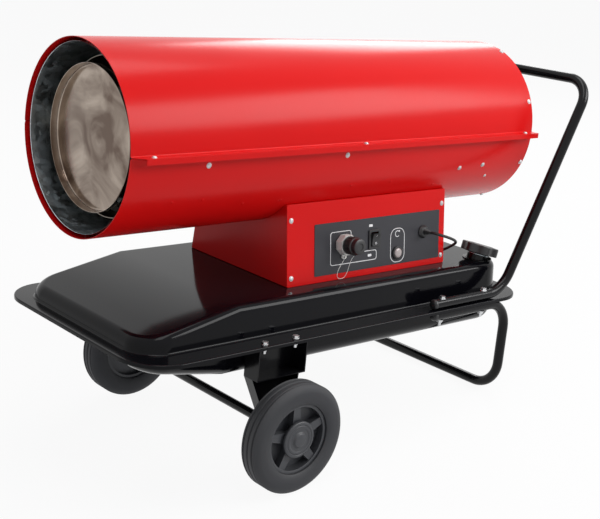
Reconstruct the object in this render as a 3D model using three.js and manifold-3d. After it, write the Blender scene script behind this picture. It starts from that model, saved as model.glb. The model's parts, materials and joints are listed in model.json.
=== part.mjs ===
// Wheeled oil-fired forced air heater. Millimetres, +Z up, +X towards the handle, -Y towards the panel.
// The tank, the air tube and everything bolted to them share one "chassis" frame whose origin is the axle
// centre. The chassis stands on two wheels and on a leg that is shorter than the axle is high, so the
// whole chassis leans back: its tilt is worked out from the wheel and the leg.

import * as THREE from 'three';
import { mergeVertices } from 'three/addons/utils/BufferGeometryUtils.js';
import Module from 'manifold-3d';

const wasm = await Module();
wasm.setup();

// ---------------------------------------------------------------------------------------------------
// Driving dimensions

const clearance = 0.3;               // between pieces that touch
const boltRadius = 4;                // M8
const boltHole = boltRadius + 0.35;

// Wheels and axle
const wheelRadius = 125;
const wheelWidth = 58;
const track = 691;                   // over the outer faces of the wheels
const tyreBore = 80;
const hubBarrelRadius = 24;
const hubCapRadius = 42;
const spokeCount = 5;
const axleRadius = 11;

// Tank
const flangeHeight = 210;            // top of the flange over the axle
const sheet = 1.6;                   // pressed tank sheet
const flangeFront = -380;
const flangeRear = 800;
const flangeHalf = 295;
const flangeCorner = 97;
const flangeFold = 8;                // rolled-down edge
const wellFront = -348;              // pressed walls, at the flange
const wellRear = 764;
const wellHalf = 240;
const wellCorner = 70;
const topRise = 76;                  // flat top over the flange
const topCrease = -105;              // in front of it the top slopes down
const topSlope = 0.197;
const topFillet = 18;
const bottomDepth = 78;
const bottomCrease = -129;           // in front of it the bottom rises
const bottomSlope = 0.179;
const bottomFillet = 28;
const wallDraft = 4;

// Air tube
const casingRadius = 203.3;
const casingSheet = 1.5;
const casingFront = -376;
const casingLength = 1213;
const casingGap = 118.7;             // between the tank top and the tube
const lipWidth = 22.7;
const lipFold = 11;
const shieldGap = 7.3;               // between the casing and the shield
const shieldSheet = 1.2;
const shieldInset = 8;               // behind the casing's front rim
const shieldLength = 728;
const chamberRadius = 167;
const chamberInset = 75;
const chamberLength = 631;
const chamberCone = 30;
const baffleRadius = 152;
const baffleInset = 32;
const baffleDepth = 18;

// Control box
const boxFront = 70;
const boxLength = 515;
const boxHalfBottom = 179.5;
const boxGap = 7.162;                // between the casing and the box's top edge
const boxHeight = 183;
const boxSheet = 1.5;

// Handle and leg
const tubeRadius = 12.5;
const tubeWall = 1.7;
const tubeOffset = 280;              // of the handle and leg tubes from the middle plane
const handleStart = 457;
const handleBend = { ahead: 249, radius: 80 };          // ahead of the bar
const handleBar = { behind: 115, z: 747, radius: 65 };  // behind the casing's rear rim
const legStart = 462;
const legX = 731;
const legBarDrop = 44;               // of the leg's ground bar under the axle
const legBend = 70;
const clampBolts = [481, 632];       // stations of the bolts through handle, flange and leg
const bracketBolts = [-69, 17];

// Burner, motor and fan, stations along the tube
const burnerFront = 318;
const burnerLength = 112;
const burnerRadius = 50;
const pumpFront = 515;
const pumpLength = 47;
const motorFront = 583;
const motorLength = 122;
const motorRadius = 60;
const shaftRadius = 6;
const fanMiddle = 765;
const fanGap = 25.8;                 // between the casing and the blades' tips
const fanHubRadius = 38;
const fanHubLength = 46;
const bladeCount = 6;
const grilleDepth = 12;

// Mains cord
const cordRadius = 3.5;
const coilRadius = 45;               // middle of the outer turn
const coilPitch = 7.9;
const coilLayer = 7.8;
const coilTurns = 4;
const coilDip = 2.5;

// Worked out from the values above
const casingRear = casingFront + casingLength;
const tankTop = flangeHeight + topRise;
const casingAxis = tankTop + casingGap + casingRadius;
const shieldRadius = casingRadius - casingSheet - shieldGap;
const lowerFlangeTop = flangeHeight - sheet - clearance;
const flangeUnderside = lowerFlangeTop - sheet;
const handleHeight = flangeHeight + clearance + tubeRadius;
const handleBarX = casingRear + handleBar.behind;
const handleBendX = handleBarX - handleBend.ahead;
const legHeight = flangeUnderside - clearance - tubeRadius;
const boxRear = boxFront + boxLength;
const fanRadius = casingRadius - casingSheet - fanGap;
const boxBase = tankTop + clearance;
const boxHalfTop = boxGap + Math.sqrt(casingRadius ** 2 - (casingAxis - boxBase - boxHeight) ** 2);
const panelLean = Math.atan2(boxHalfBottom - boxHalfTop, boxHeight);
const panelHeight = Math.hypot(boxHeight, boxHalfBottom - boxHalfTop);
const wheelMiddle = (track - wheelWidth) / 2;
const wheelInner = track / 2 - wheelWidth;
const tilt = Math.asin((wheelRadius - tubeRadius) / Math.hypot(legX, legBarDrop))
  - Math.atan2(legBarDrop, legX);
const sides = [['near', -1], ['far', 1]];
const full = Math.PI * 2;

// ---------------------------------------------------------------------------------------------------
// Finishes

const finish = (color, roughness, metalness) =>
  new THREE.MeshStandardMaterial({ color, roughness, metalness });
const redPaint = finish(0xd9170f, 0.3, 0.1);
const blackPaint = finish(0x0d0d10, 0.25, 0.1);
const galvanised = finish(0x7f8b90, 0.45, 0.8);
const stainless = finish(0x9a8678, 0.2, 0.9);
const zinc = finish(0xb8bcc0, 0.35, 0.9);
const castAlloy = finish(0x8f9296, 0.5, 0.8);
const rubber = finish(0x2b2d31, 0.8, 0);
const greyPlastic = finish(0x3a3d42, 0.55, 0);
const blackPlastic = finish(0x17181a, 0.5, 0);
const whitePlastic = finish(0xe6e4de, 0.45, 0);
const fasciaFilm = finish(0x3c3f45, 0.55, 0);
const clearRed = finish(0xb08a86, 0.3, 0);
const copper = finish(0xb87333, 0.35, 0.9);
const cordSheath = finish(0x141415, 0.6, 0);

// ---------------------------------------------------------------------------------------------------
// Solids: closed geometries in, one closed geometry out

// Merges shared corners, drops slivers of no area and turns the faces outwards.
function closed(geometry) {
  const bare = geometry.clone();
  for (const name of ['normal', 'uv', 'uv1', 'color']) bare.deleteAttribute(name);
  const merged = mergeVertices(bare, 1e-4);
  const place = merged.attributes.position;
  const kept = [];
  const corner = [new THREE.Vector3(), new THREE.Vector3(), new THREE.Vector3()];
  let volume = 0;
  for (let i = 0; i < merged.index.count; i += 3) {
    const ids = [0, 1, 2].map((k) => merged.index.getX(i + k));
    if (ids[0] === ids[1] || ids[1] === ids[2] || ids[2] === ids[0]) continue;
    ids.forEach((id, k) => corner[k].fromBufferAttribute(place, id));
    volume += corner[0].dot(corner[1].clone().cross(corner[2]));
    kept.push(ids);
  }
  merged.setIndex(kept.flatMap(([a, b, c]) => (volume < 0 ? [a, c, b] : [a, b, c])));
  return merged;
}

function solid(shape) {
  if (shape instanceof wasm.Manifold) return shape;
  const geometry = closed(shape);
  return new wasm.Manifold(new wasm.Mesh({
    numProp: 3,
    vertProperties: new Float32Array(geometry.attributes.position.array),
    triVerts: new Uint32Array(geometry.index.array),
  }));
}

const join = (first, ...others) => others.reduce((sum, next) => sum.add(solid(next)), solid(first));
const cut = (first, ...tools) => tools.reduce((rest, tool) => rest.subtract(solid(tool)), solid(first));

function geometryOf(shape) {
  if (!(shape instanceof wasm.Manifold)) return closed(shape);
  const mesh = shape.getMesh();
  const geometry = new THREE.BufferGeometry();
  geometry.setAttribute('position', new THREE.BufferAttribute(new Float32Array(mesh.vertProperties), 3));
  geometry.setIndex(Array.from(mesh.triVerts));
  return geometry;
}

function addPiece(group, name, shape, material) {
  const mesh = new THREE.Mesh(geometryOf(shape), material);
  mesh.name = name;
  group.add(mesh);
  return mesh;
}

// ---------------------------------------------------------------------------------------------------
// Shape helpers

const block = (x0, x1, y0, y1, z0, z1) => new THREE.BoxGeometry(x1 - x0, y1 - y0, z1 - z0)
  .translate((x0 + x1) / 2, (y0 + y1) / 2, (z0 + z1) / 2);

// Turns a geometry made about +Y so that it stands about another axis.
function aim(geometry, axis) {
  if (axis === 'x') geometry.rotateZ(-Math.PI / 2);
  if (axis === 'z') geometry.rotateX(Math.PI / 2);
  return geometry;
}

// Revolved solid: profile points are [radius, distance along the axis].
function turned(profile, axis, segments = 28) {
  const points = profile.map(([radius, along]) => new THREE.Vector2(radius, along));
  const onAxis = profile[0][0] === 0 && profile.at(-1)[0] === 0;
  if (!onAxis) points.push(points[0].clone());
  return aim(closed(new THREE.LatheGeometry(points, segments)), axis);
}

const rod = (radius, from, to, axis, segments = 12) =>
  turned([[0, from], [radius, from], [radius, to], [0, to]], axis, segments);

const ring = (inner, outer, from, to, axis, segments = 28) =>
  turned([[inner, from], [outer, from], [outer, to], [inner, to]], axis, segments);

// Straight prism of an outline drawn in the plane 'xy', 'xz' or 'yz', between two stations across it.
function prism(outline, plane, from, to, curveSegments = 24) {
  const shape = outline instanceof THREE.Shape ? outline
    : new THREE.Shape(outline.map(([a, b]) => new THREE.Vector2(a, b)));
  const geometry = new THREE.ExtrudeGeometry(shape,
    { depth: to - from, bevelEnabled: false, curveSegments });
  const x = new THREE.Vector3(1, 0, 0);
  const y = new THREE.Vector3(0, 1, 0);
  const z = new THREE.Vector3(0, 0, 1);
  if (plane === 'xy') return geometry.translate(0, 0, from);
  if (plane === 'yz') return geometry.applyMatrix4(new THREE.Matrix4().makeBasis(y, z, x)).translate(from, 0, 0);
  return geometry.applyMatrix4(new THREE.Matrix4().makeBasis(x, z, y.clone().negate())).translate(0, to, 0);
}

// Ring of corners of a rounded rectangle, from the front middle round the +Y side to the rear and back.
// Corners i and n - i mirror each other across the middle plane.
function roundedRing({ front, rear, half, corner, breaks = [], steps = 4 }) {
  const upper = [[front, 0]];
  for (let i = 0; i <= steps; i++) {
    const a = Math.PI - (i / steps) * Math.PI / 2;
    upper.push([front + corner + corner * Math.cos(a), half - corner + corner * Math.sin(a)]);
  }
  for (const x of breaks) upper.push([x, half]);
  for (let i = 0; i <= steps; i++) {
    const a = Math.PI / 2 - (i / steps) * Math.PI / 2;
    upper.push([rear - corner + corner * Math.cos(a), half - corner + corner * Math.sin(a)]);
  }
  upper.push([rear, 0]);
  return [...upper, ...upper.slice(1, -1).reverse().map(([x, y]) => [x, -y])];
}

const insetRing = (base, inset) => roundedRing({ ...base,
  front: base.front + inset, rear: base.rear - inset, half: base.half - inset,
  corner: Math.max(base.corner - inset, 2) });

// Skin through rings of [x, y, z] corners. The end caps join mirrored corners, so that a sloping or
// creased end stays true.
function loft(rings) {
  const count = rings[0].length;
  const corners = rings.flat(2);
  const index = [];
  for (let r = 0; r + 1 < rings.length; r++) {
    for (let i = 0; i < count; i++) {
      const j = (i + 1) % count;
      const [a, b, c, d] = [r * count + i, r * count + j, (r + 1) * count + j, (r + 1) * count + i];
      index.push(a, b, c, a, c, d);
    }
  }
  const cap = (start, flip) => {
    for (let i = 0; i < count / 2; i++) {
      const [a, b] = [start + i, start + i + 1];
      const [c, d] = [start + (count - i - 1) % count, start + (count - i) % count];
      if (flip) index.push(a, c, b, a, d, c);
      else index.push(a, b, c, a, c, d);
    }
  };
  cap(0, true);
  cap((rings.length - 1) * count, false);
  const geometry = new THREE.BufferGeometry();
  geometry.setAttribute('position', new THREE.Float32BufferAttribute(corners, 3));
  geometry.setIndex(index);
  return closed(geometry);
}

// Path of straight runs and round bends, with one station at each end of a bend's steps.
class BentPath extends THREE.Curve {
  constructor(corners, radius, stepsPerBend = 4) {
    super();
    this.places = [];
    this.headings = [];
    const add = (place, heading) => {
      this.places.push(place);
      this.headings.push(heading.clone().normalize());
    };
    const points = corners.map((corner) => new THREE.Vector3(...corner));
    const radii = Array.isArray(radius) ? radius : points.map(() => radius);
    add(points[0], points[1].clone().sub(points[0]));
    for (let i = 1; i + 1 < points.length; i++) {
      const into = points[i].clone().sub(points[i - 1]).normalize();
      const out = points[i + 1].clone().sub(points[i]).normalize();
      const angle = into.angleTo(out);
      const bend = radii[i];
      const start = points[i].clone().addScaledVector(into, -bend * Math.tan(angle / 2));
      const side = out.clone().addScaledVector(into, -out.dot(into)).normalize();
      const steps = Math.max(2, Math.round(stepsPerBend * angle / (Math.PI / 2)));
      for (let k = 0; k <= steps; k++) {
        const a = angle * k / steps;
        add(start.clone().addScaledVector(into, bend * Math.sin(a))
          .addScaledVector(side, bend * (1 - Math.cos(a))),
        into.clone().multiplyScalar(Math.cos(a)).addScaledVector(side, Math.sin(a)));
      }
    }
    add(points.at(-1), points.at(-1).clone().sub(points.at(-2)));
  }
  get steps() { return this.places.length - 1; }
  getPoint(t) {
    const s = t * this.steps;
    const i = Math.min(Math.floor(s + 1e-9), this.steps - 1);
    return this.places[i].clone().lerp(this.places[i + 1], Math.min(Math.max(s - i, 0), 1));
  }
  getPointAt(t) { return this.getPoint(t); }
  getTangent(t) { return this.headings[Math.round(t * this.steps)].clone(); }
  getTangentAt(t) { return this.getTangent(t); }
}

function roundShape(radius, segments) {
  const points = [];
  for (let i = 0; i < segments; i++) {
    const a = (i + 0.5) / segments * full;
    points.push(new THREE.Vector2(radius * Math.cos(a), radius * Math.sin(a)));
  }
  return new THREE.Shape(points);
}

const along = (path, radius, segments, steps = path.steps) =>
  new THREE.ExtrudeGeometry(roundShape(radius, segments), { steps, extrudePath: path, bevelEnabled: false });

// ---------------------------------------------------------------------------------------------------
// Groups

const heater = new THREE.Group();
const chassis = new THREE.Group();
chassis.rotation.y = tilt;
chassis.position.z = wheelRadius;
const running = new THREE.Group();
running.position.z = wheelRadius;
heater.add(chassis, running);

// ---------------------------------------------------------------------------------------------------
// Fuel tank: two pressed shells that meet at a flange

const fillerAt = { x: 702, y: -190, tilt: 0.253 };
const standpipe = { x: 480, y: 20, radius: 5 };
const drainAt = { x: 640, y: 0, radius: 6 };
const neckBore = 23;

const topHeight = (x) => topRise - topSlope * Math.max(0, topCrease - x);
const bottomReach = (x) => bottomDepth - bottomSlope * Math.max(0, bottomCrease - x);

// One pressed well. `skin` moves the whole surface inwards; `direction` is +1 upwards, -1 downwards.
function well(start, reach, crease, fillet, direction, skin) {
  const base = { front: wellFront, rear: wellRear, half: wellHalf, corner: wellCorner, breaks: [crease] };
  const rings = [insetRing(base, skin).map(([x, y]) => [x, y, start])];
  const steps = 3;
  const round = fillet - skin;
  for (let i = 0; i <= steps; i++) {
    const a = i / steps * Math.PI / 2;
    const inset = skin + wallDraft + round * (1 - Math.cos(a));
    rings.push(insetRing(base, inset).map(([x, y]) =>
      [x, y, start + direction * (reach(x) - skin - round * (1 - Math.sin(a)))]));
  }
  return loft(rings);
}

const flangeOutline = { front: flangeFront, rear: flangeRear, half: flangeHalf, corner: flangeCorner };
const flangePrism = (inset, from, to) => prism(insetRing(flangeOutline, inset), 'xy', from, to);
const flangeHoles = sides.flatMap(([, side]) => [...clampBolts, ...bracketBolts].map((x) =>
  rod(boltHole, flangeUnderside - 5, flangeHeight + 5, 'z', 6).translate(x, side * tubeOffset, 0)));

function tankTopShell() {
  const skin = cut(
    join(flangePrism(0, flangeHeight - sheet, flangeHeight),
      well(flangeHeight - sheet, (x) => topHeight(x) + sheet, topCrease, topFillet, 1, 0)),
    well(flangeHeight - sheet - 1, (x) => topHeight(x) + sheet + 1, topCrease, topFillet, 1, sheet),
  );
  const fold = cut(flangePrism(0, flangeHeight - flangeFold, flangeHeight),
    flangePrism(sheet, flangeHeight - flangeFold - 1, flangeHeight + 1));
  const holes = [
    rod(neckBore + 1.5, tankTop - 20, tankTop + 10, 'z', 20).translate(fillerAt.x, fillerAt.y, 0),
    rod(standpipe.radius + 0.7, tankTop - 20, tankTop + 10, 'z', 8).translate(standpipe.x, standpipe.y, 0),
  ];
  return cut(join(skin, fold), ...holes, ...flangeHoles);
}

function tankBottomShell() {
  const inset = sheet + clearance;
  const floorRise = rod(drainAt.radius + 0.6, 0, flangeHeight, 'z', 8).translate(drainAt.x, drainAt.y, 0);
  return cut(
    join(flangePrism(inset, flangeUnderside, lowerFlangeTop),
      well(lowerFlangeTop, bottomReach, bottomCrease, bottomFillet, -1, 2)),
    well(lowerFlangeTop + 1, (x) => bottomReach(x) + 1, bottomCrease, bottomFillet, -1, 2 + sheet),
    floorRise, ...flangeHoles,
  );
}

addPiece(chassis, 'tank_top_shell', tankTopShell(), blackPaint);
addPiece(chassis, 'tank_bottom_shell', tankBottomShell(), blackPaint);

// Drain plug: hexagon head with its sealing collar, in the lowest part of the floor
const floorOutside = lowerFlangeTop - bottomDepth + 2;
addPiece(chassis, 'drain_plug', join(
  rod(11, floorOutside - 8, floorOutside - 2, 'z', 6),
  rod(13, floorOutside - 2 - clearance, floorOutside - clearance, 'z', 12),
  rod(drainAt.radius, floorOutside - 2, floorOutside + 10, 'z', 8),
).translate([drainAt.x, drainAt.y, 0]), zinc);

// ---------------------------------------------------------------------------------------------------
// Filler: neck welded on the tank top and leaning back, strainer, rubber plug and lobed knob

const neckHeight = 10;
const neckOuter = 27;
const strainerRadius = 21;
const strainerDepth = 62;
const plugRadius = 18.5;
const knobBase = 13.6;
const knobHeight = 22;
const knobRadius = 47.5;
const knobLobes = 6;
const lobeDepth = 3.5;

const filler = new THREE.Group();
filler.position.set(fillerAt.x, fillerAt.y, tankTop);
filler.rotation.y = fillerAt.tilt;
chassis.add(filler);

function fillerNeck() {
  const lean = new THREE.Matrix4().makeRotationY(fillerAt.tilt);
  const tube = rod(neckOuter, -20, neckHeight, 'z', 18).applyMatrix4(lean);
  const bore = rod(neckBore, -40, neckHeight + 20, 'z', 18).applyMatrix4(lean);
  const collar = rod(neckOuter + 10, clearance, clearance + 2, 'z', 18);
  const below = block(-80, 80, -80, 80, -60, clearance);
  return cut(join(tube, collar), below, bore).translate([fillerAt.x, fillerAt.y, tankTop]);
}

function knob() {
  const points = knobLobes * 6;
  const levels = [[0, 5], [5, 0], [16, 0], [knobHeight, 10]];
  const rings = levels.map(([rise, inset]) => {
    const corners = [];
    for (let i = 0; i < points; i++) {
      const a = i / points * full;
      const r = knobRadius - lobeDepth * (1 - Math.cos(knobLobes * a)) / 2 * 2 - inset;
      corners.push([r * Math.cos(a), r * Math.sin(a), knobBase + rise]);
    }
    return corners;
  });
  return cut(loft(rings), rod(4.6, knobBase - 1, knobBase + 14, 'z', 12));
}

addPiece(chassis, 'filler_neck', fillerNeck(), blackPaint);
addPiece(filler, 'fuel_strainer', turned([
  [0, -strainerDepth], [strainerRadius, -strainerDepth], [strainerRadius, neckHeight + clearance],
  [neckOuter, neckHeight + clearance], [neckOuter, neckHeight + clearance + 1],
  [strainerRadius - 1, neckHeight + clearance + 1], [strainerRadius - 1, 1 - strainerDepth],
  [0, 1 - strainerDepth]], 'z', 16), galvanised);
addPiece(filler, 'filler_plug', turned([
  [0, -12], [plugRadius - 1.5, -12], [plugRadius, -9], [plugRadius, neckHeight + 1.6],
  [neckOuter, neckHeight + 1.6], [neckOuter, knobBase - clearance], [4, knobBase - clearance],
  [4, knobBase + 12], [0, knobBase + 12]], 'z', 16), rubber);
addPiece(filler, 'filler_knob', knob(), blackPlastic);

// ---------------------------------------------------------------------------------------------------
// Casing: two half shells whose lips meet on both sides, the upper lip folded over the lower one

function upperCasingOutline() {
  const inner = casingRadius - casingSheet;
  const reach = casingRadius + lipWidth;
  const gap = clearance / 2;
  const top = gap + casingSheet;
  const outerStart = Math.asin(top / casingRadius);
  const innerStart = Math.asin(gap / inner);
  const shape = new THREE.Shape();
  shape.moveTo(inner, gap);
  shape.lineTo(reach - casingSheet, gap);
  shape.lineTo(reach - casingSheet, -lipFold);
  shape.lineTo(reach, -lipFold);
  shape.lineTo(reach, top);
  shape.absarc(0, 0, casingRadius, outerStart, Math.PI - outerStart, false);
  shape.lineTo(-reach, top);
  shape.lineTo(-reach, -lipFold);
  shape.lineTo(-reach + casingSheet, -lipFold);
  shape.lineTo(-reach + casingSheet, gap);
  shape.absarc(0, 0, inner, Math.PI - innerStart, innerStart, true);
  return shape;
}

function lowerCasingOutline() {
  const inner = casingRadius - casingSheet;
  const reach = casingRadius + lipWidth - casingSheet - 0.5;
  const gap = clearance / 2;
  const under = gap + casingSheet;
  const outerStart = Math.asin(under / casingRadius);
  const innerStart = Math.asin(gap / inner);
  const shape = new THREE.Shape();
  shape.moveTo(-inner, -gap);
  shape.lineTo(-reach, -gap);
  shape.lineTo(-reach, -under);
  shape.absarc(0, 0, casingRadius, Math.PI + outerStart, full - outerStart, false);
  shape.lineTo(reach, -under);
  shape.lineTo(reach, -gap);
  shape.absarc(0, 0, inner, full - innerStart, Math.PI + innerStart, true);
  return shape;
}

// The lips run out to the front rim in a 45 degree corner.
const lipCorners = sides.map(([, side]) => {
  const near = casingRadius + 0.2;
  const far = casingRadius + lipWidth + 5;
  const outline = [[casingFront, near], [casingFront + far - near, far], [casingFront - 5, far],
    [casingFront - 5, near]].map(([x, y]) => [x, side * y]);
  return prism(outline, 'xy', -lipFold - 2, casingSheet + 2);
});

const air = new THREE.Group();
air.position.z = casingAxis;
chassis.add(air);

const casingHalf = (outline) => cut(prism(outline, 'yz', casingFront, casingRear), ...lipCorners);
const pipeHole = rod(16, -casingRadius - 10, -casingRadius + 15, 'z', 12)
  .translate(standpipe.x, standpipe.y, 0);
addPiece(air, 'casing_upper', casingHalf(upperCasingOutline()), redPaint);
addPiece(air, 'casing_lower', cut(casingHalf(lowerCasingOutline()), pipeHole), redPaint);

// ---------------------------------------------------------------------------------------------------
// Inner shield with its spacers and the Z brackets that carry the combustion chamber

const shieldFront = casingFront + shieldInset;
const chamberFront = casingFront + chamberInset;
const chamberRear = chamberFront + chamberLength;
const bracketAngles = [60, 180, 300].map((degrees) => THREE.MathUtils.degToRad(degrees));
const bracketWidth = 24;

// Turns a piece drawn about +Z in the xz plane to stand at an angle round the tube, 0 being the panel side.
const roundTube = (geometry, angle) => geometry.rotateX(Math.PI / 2 - angle);

function innerShield() {
  const skin = ring(shieldRadius - shieldSheet, shieldRadius, shieldFront, shieldFront + shieldLength, 'x', 36);
  const spacers = [];
  for (const station of [shieldFront + 30, shieldFront + shieldLength - 40]) {
    for (const degrees of [30, 150, 270]) {
      spacers.push(roundTube(rod(7, shieldRadius - 1, casingRadius - casingSheet - 0.6, 'z', 6)
        .translate(station, 0, 0), THREE.MathUtils.degToRad(degrees)));
    }
  }
  const foot = chamberRadius + clearance;
  const straps = bracketAngles.map((angle) => roundTube(prism([
    [chamberFront + 30, foot], [chamberFront + 30, foot + 1.5], [chamberFront + 12, foot + 1.5],
    [chamberFront + 12, shieldRadius - 0.4], [chamberFront + 10.5, shieldRadius - 0.4],
    [chamberFront + 10.5, foot]], 'xz', -bracketWidth / 2, bracketWidth / 2), angle));
  return join(skin, ...spacers, ...straps);
}

addPiece(air, 'inner_shield', innerShield(), galvanised);

// ---------------------------------------------------------------------------------------------------
// Combustion chamber, baffle disc, burner head and the spider that carries them at the back

const chamberSheet = 1.5;
const burnerHole = burnerRadius + 0.5;
const coneRadius = 110;

addPiece(air, 'combustion_chamber', turned([
  [chamberRadius, chamberFront], [chamberRadius, chamberRear - chamberCone], [coneRadius, chamberRear],
  [burnerHole, chamberRear], [burnerHole, chamberRear - chamberSheet],
  [coneRadius - 0.8, chamberRear - chamberSheet],
  [chamberRadius - chamberSheet, chamberRear - chamberCone - 0.8],
  [chamberRadius - chamberSheet, chamberFront]], 'x', 26), stainless);

function baffleDisc() {
  const front = casingFront + baffleInset;
  const back = front + baffleDepth + 1.5;
  const rim = baffleRadius - 1.5;
  const tray = turned([[0, back], [baffleRadius, back], [baffleRadius, front], [rim, front],
    [rim, back - 1.5], [0, back - 1.5]], 'x', 32);
  const seat = chamberRadius - chamberSheet - 1.7;
  const legs = bracketAngles.map((angle) => roundTube(prism([
    [back - 1, baffleRadius - 2], [chamberFront - 1, seat], [chamberFront + 22, seat],
    [chamberFront + 22, seat - 1.5], [chamberFront, seat - 1.5], [back - 1, baffleRadius - 6]],
  'xz', -bracketWidth / 2, bracketWidth / 2), angle));
  return join(tray, ...legs);
}

addPiece(air, 'baffle_disc', baffleDisc(), stainless);

function burnerSupport() {
  const front = chamberRear + clearance;
  const reach = shieldRadius - shieldSheet - 0.8;
  const hub = ring(burnerRadius + 1.2, 78, front, front + 2, 'x', 20);
  const arms = [45, 135, 225, 315].map((degrees) => roundTube(prism([
    [front, 70], [front, reach], [front + 20, reach], [front + 20, reach - 2], [front + 2, reach - 2],
    [front + 2, 70]], 'xz', -14, 14), THREE.MathUtils.degToRad(degrees)));
  return join(hub, ...arms);
}

addPiece(air, 'burner_support', burnerSupport(), galvanised);

const burnerRear = burnerFront + burnerLength;
const nozzleLineEnd = burnerRear + 22;
addPiece(air, 'burner_head', turned([
  [0, nozzleLineEnd], [9, nozzleLineEnd], [9, burnerRear], [burnerRadius, burnerRear],
  [burnerRadius, burnerFront], [burnerRadius - 1.7, burnerFront], [burnerRadius - 1.7, burnerFront + 52],
  [16, burnerFront + 52], [16, burnerFront + 54], [burnerRadius - 1.7, burnerFront + 54],
  [burnerRadius - 1.7, burnerRear - 1.5], [7, burnerRear - 1.5], [7, burnerFront + 62],
  [0, burnerFront + 62]], 'x', 16), galvanised);

// ---------------------------------------------------------------------------------------------------
// Motor, pump, fan and the bracket across the lower casing

const motorRear = motorFront + motorLength;
const footDrop = motorRadius + 4;
const pumpRear = pumpFront + pumpLength;

addPiece(air, 'fan_motor', cut(join(
  turned([[0, motorFront], [22, motorFront], [22, motorFront + 7], [50, motorFront + 9],
    [motorRadius, motorFront + 18], [motorRadius, motorRear - 18], [50, motorRear - 9],
    [22, motorRear - 7], [22, motorRear], [0, motorRear]], 'x', 20),
  block(motorFront + 20, motorRear - 20, -42, 42, -footDrop, -motorRadius + 22),
  block(motorFront + 30, motorRear - 38, 48, 82, -22, 24),
), rod(shaftRadius + 0.6, motorFront - 5, motorRear + 5, 'x', 12)), castAlloy);

function motorBracket() {
  const shelf = -footDrop - clearance;
  const inner = casingRadius - casingSheet - 0.6;
  const flangeSheet = 2.5;
  const from = motorFront + 2;
  const to = motorRear - 15;
  const cheek = (side) => {
    const shape = new THREE.Shape();
    const low = THREE.MathUtils.degToRad(-31);
    const high = THREE.MathUtils.degToRad(-14);
    shape.absarc(0, 0, inner, low, high, false);
    shape.absarc(0, 0, inner - flangeSheet, high, low, true);
    const geometry = prism(shape, 'yz', from, to, 4);
    return side > 0 ? geometry : geometry.rotateZ(Math.PI).translate(from + to, 0, 0);
  };
  const reach = Math.sqrt((inner - 1) ** 2 - shelf ** 2);
  return join(block(from, to, -reach, reach, shelf - 3, shelf), cheek(1), cheek(-1));
}

addPiece(air, 'motor_bracket', motorBracket(), galvanised);

addPiece(air, 'fuel_pump', join(
  rod(27, pumpFront, pumpRear - 12, 'x', 16),
  rod(20, pumpRear - 12, pumpRear, 'x', 12),
  block(pumpFront + 6, pumpFront + 34, -34, 34, -30, 12),
  rod(8, 22, 40, 'z', 12).translate(pumpFront + 18, 0, 0),
), castAlloy);

const couplingFront = pumpRear + 1;
const shaftRear = fanMiddle + fanHubLength / 2 + 6;
addPiece(air, 'motor_shaft', turned([
  [0, couplingFront], [14, couplingFront], [14, motorFront - 3], [shaftRadius, motorFront - 3],
  [shaftRadius, shaftRear], [0, shaftRear]], 'x', 12), zinc);

// Blade sections are thin cambered strips whose pitch falls from root to tip.
function fanBlade() {
  const stations = [[fanHubRadius - 6, 62, 52], [80, 84, 42], [130, 96, 33], [fanRadius, 92, 27]];
  const across = 4;
  const thickness = 2.2;
  const camber = 7;
  const rings = stations.map(([radius, chord, pitchDegrees]) => {
    const pitch = THREE.MathUtils.degToRad(pitchDegrees);
    const face = [];
    for (let i = 0; i <= across; i++) {
      const s = (i / across - 0.5) * chord;
      const lift = camber * (1 - (2 * i / across - 1) ** 2);
      face.push([s, lift]);
    }
    const outline = [...face, ...face.map(([s, lift]) => [s, lift - thickness]).reverse()];
    return outline.map(([s, lift]) => {
      const around = s * Math.cos(pitch) - lift * Math.sin(pitch);
      const forward = s * Math.sin(pitch) + lift * Math.cos(pitch);
      const angle = around / radius;
      return [fanMiddle + forward, radius * Math.sin(angle), radius * Math.cos(angle)];
    });
  });
  const count = rings[0].length;
  const index = [];
  rings.slice(1).forEach((_, r) => {
    for (let i = 0; i < count; i++) {
      const j = (i + 1) % count;
      const [a, b, c, d] = [r * count + i, r * count + j, (r + 1) * count + j, (r + 1) * count + i];
      index.push(a, b, c, a, c, d);
    }
  });
  for (const [start, flip] of [[0, true], [(rings.length - 1) * count, false]]) {
    for (let i = 0; i < across; i++) {
      const [a, b, c, d] = [start + i, start + i + 1, start + count - 2 - i, start + count - 1 - i];
      index.push(...(flip ? [a, c, b, a, d, c] : [a, b, c, a, c, d]));
    }
  }
  const geometry = new THREE.BufferGeometry();
  geometry.setAttribute('position', new THREE.Float32BufferAttribute(rings.flat(2), 3));
  geometry.setIndex(index);
  return closed(geometry);
}

function fan() {
  const from = fanMiddle - fanHubLength / 2;
  const to = fanMiddle + fanHubLength / 2;
  const hub = turned([[0, from], [fanHubRadius - 6, from], [fanHubRadius, from + 6], [fanHubRadius, to],
    [0, to]], 'x', 18);
  const blade = fanBlade();
  const blades = [];
  for (let i = 0; i < bladeCount; i++) blades.push(blade.clone().rotateX(i / bladeCount * full));
  const recess = ring(14, fanHubRadius - 8, to - 10, to + 10, 'x', 12);
  const bore = rod(shaftRadius + 0.4, from - 5, to + 5, 'x', 12);
  return cut(join(hub, ...blades), recess, bore);
}

addPiece(air, 'fan', fan(), castAlloy);

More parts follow.
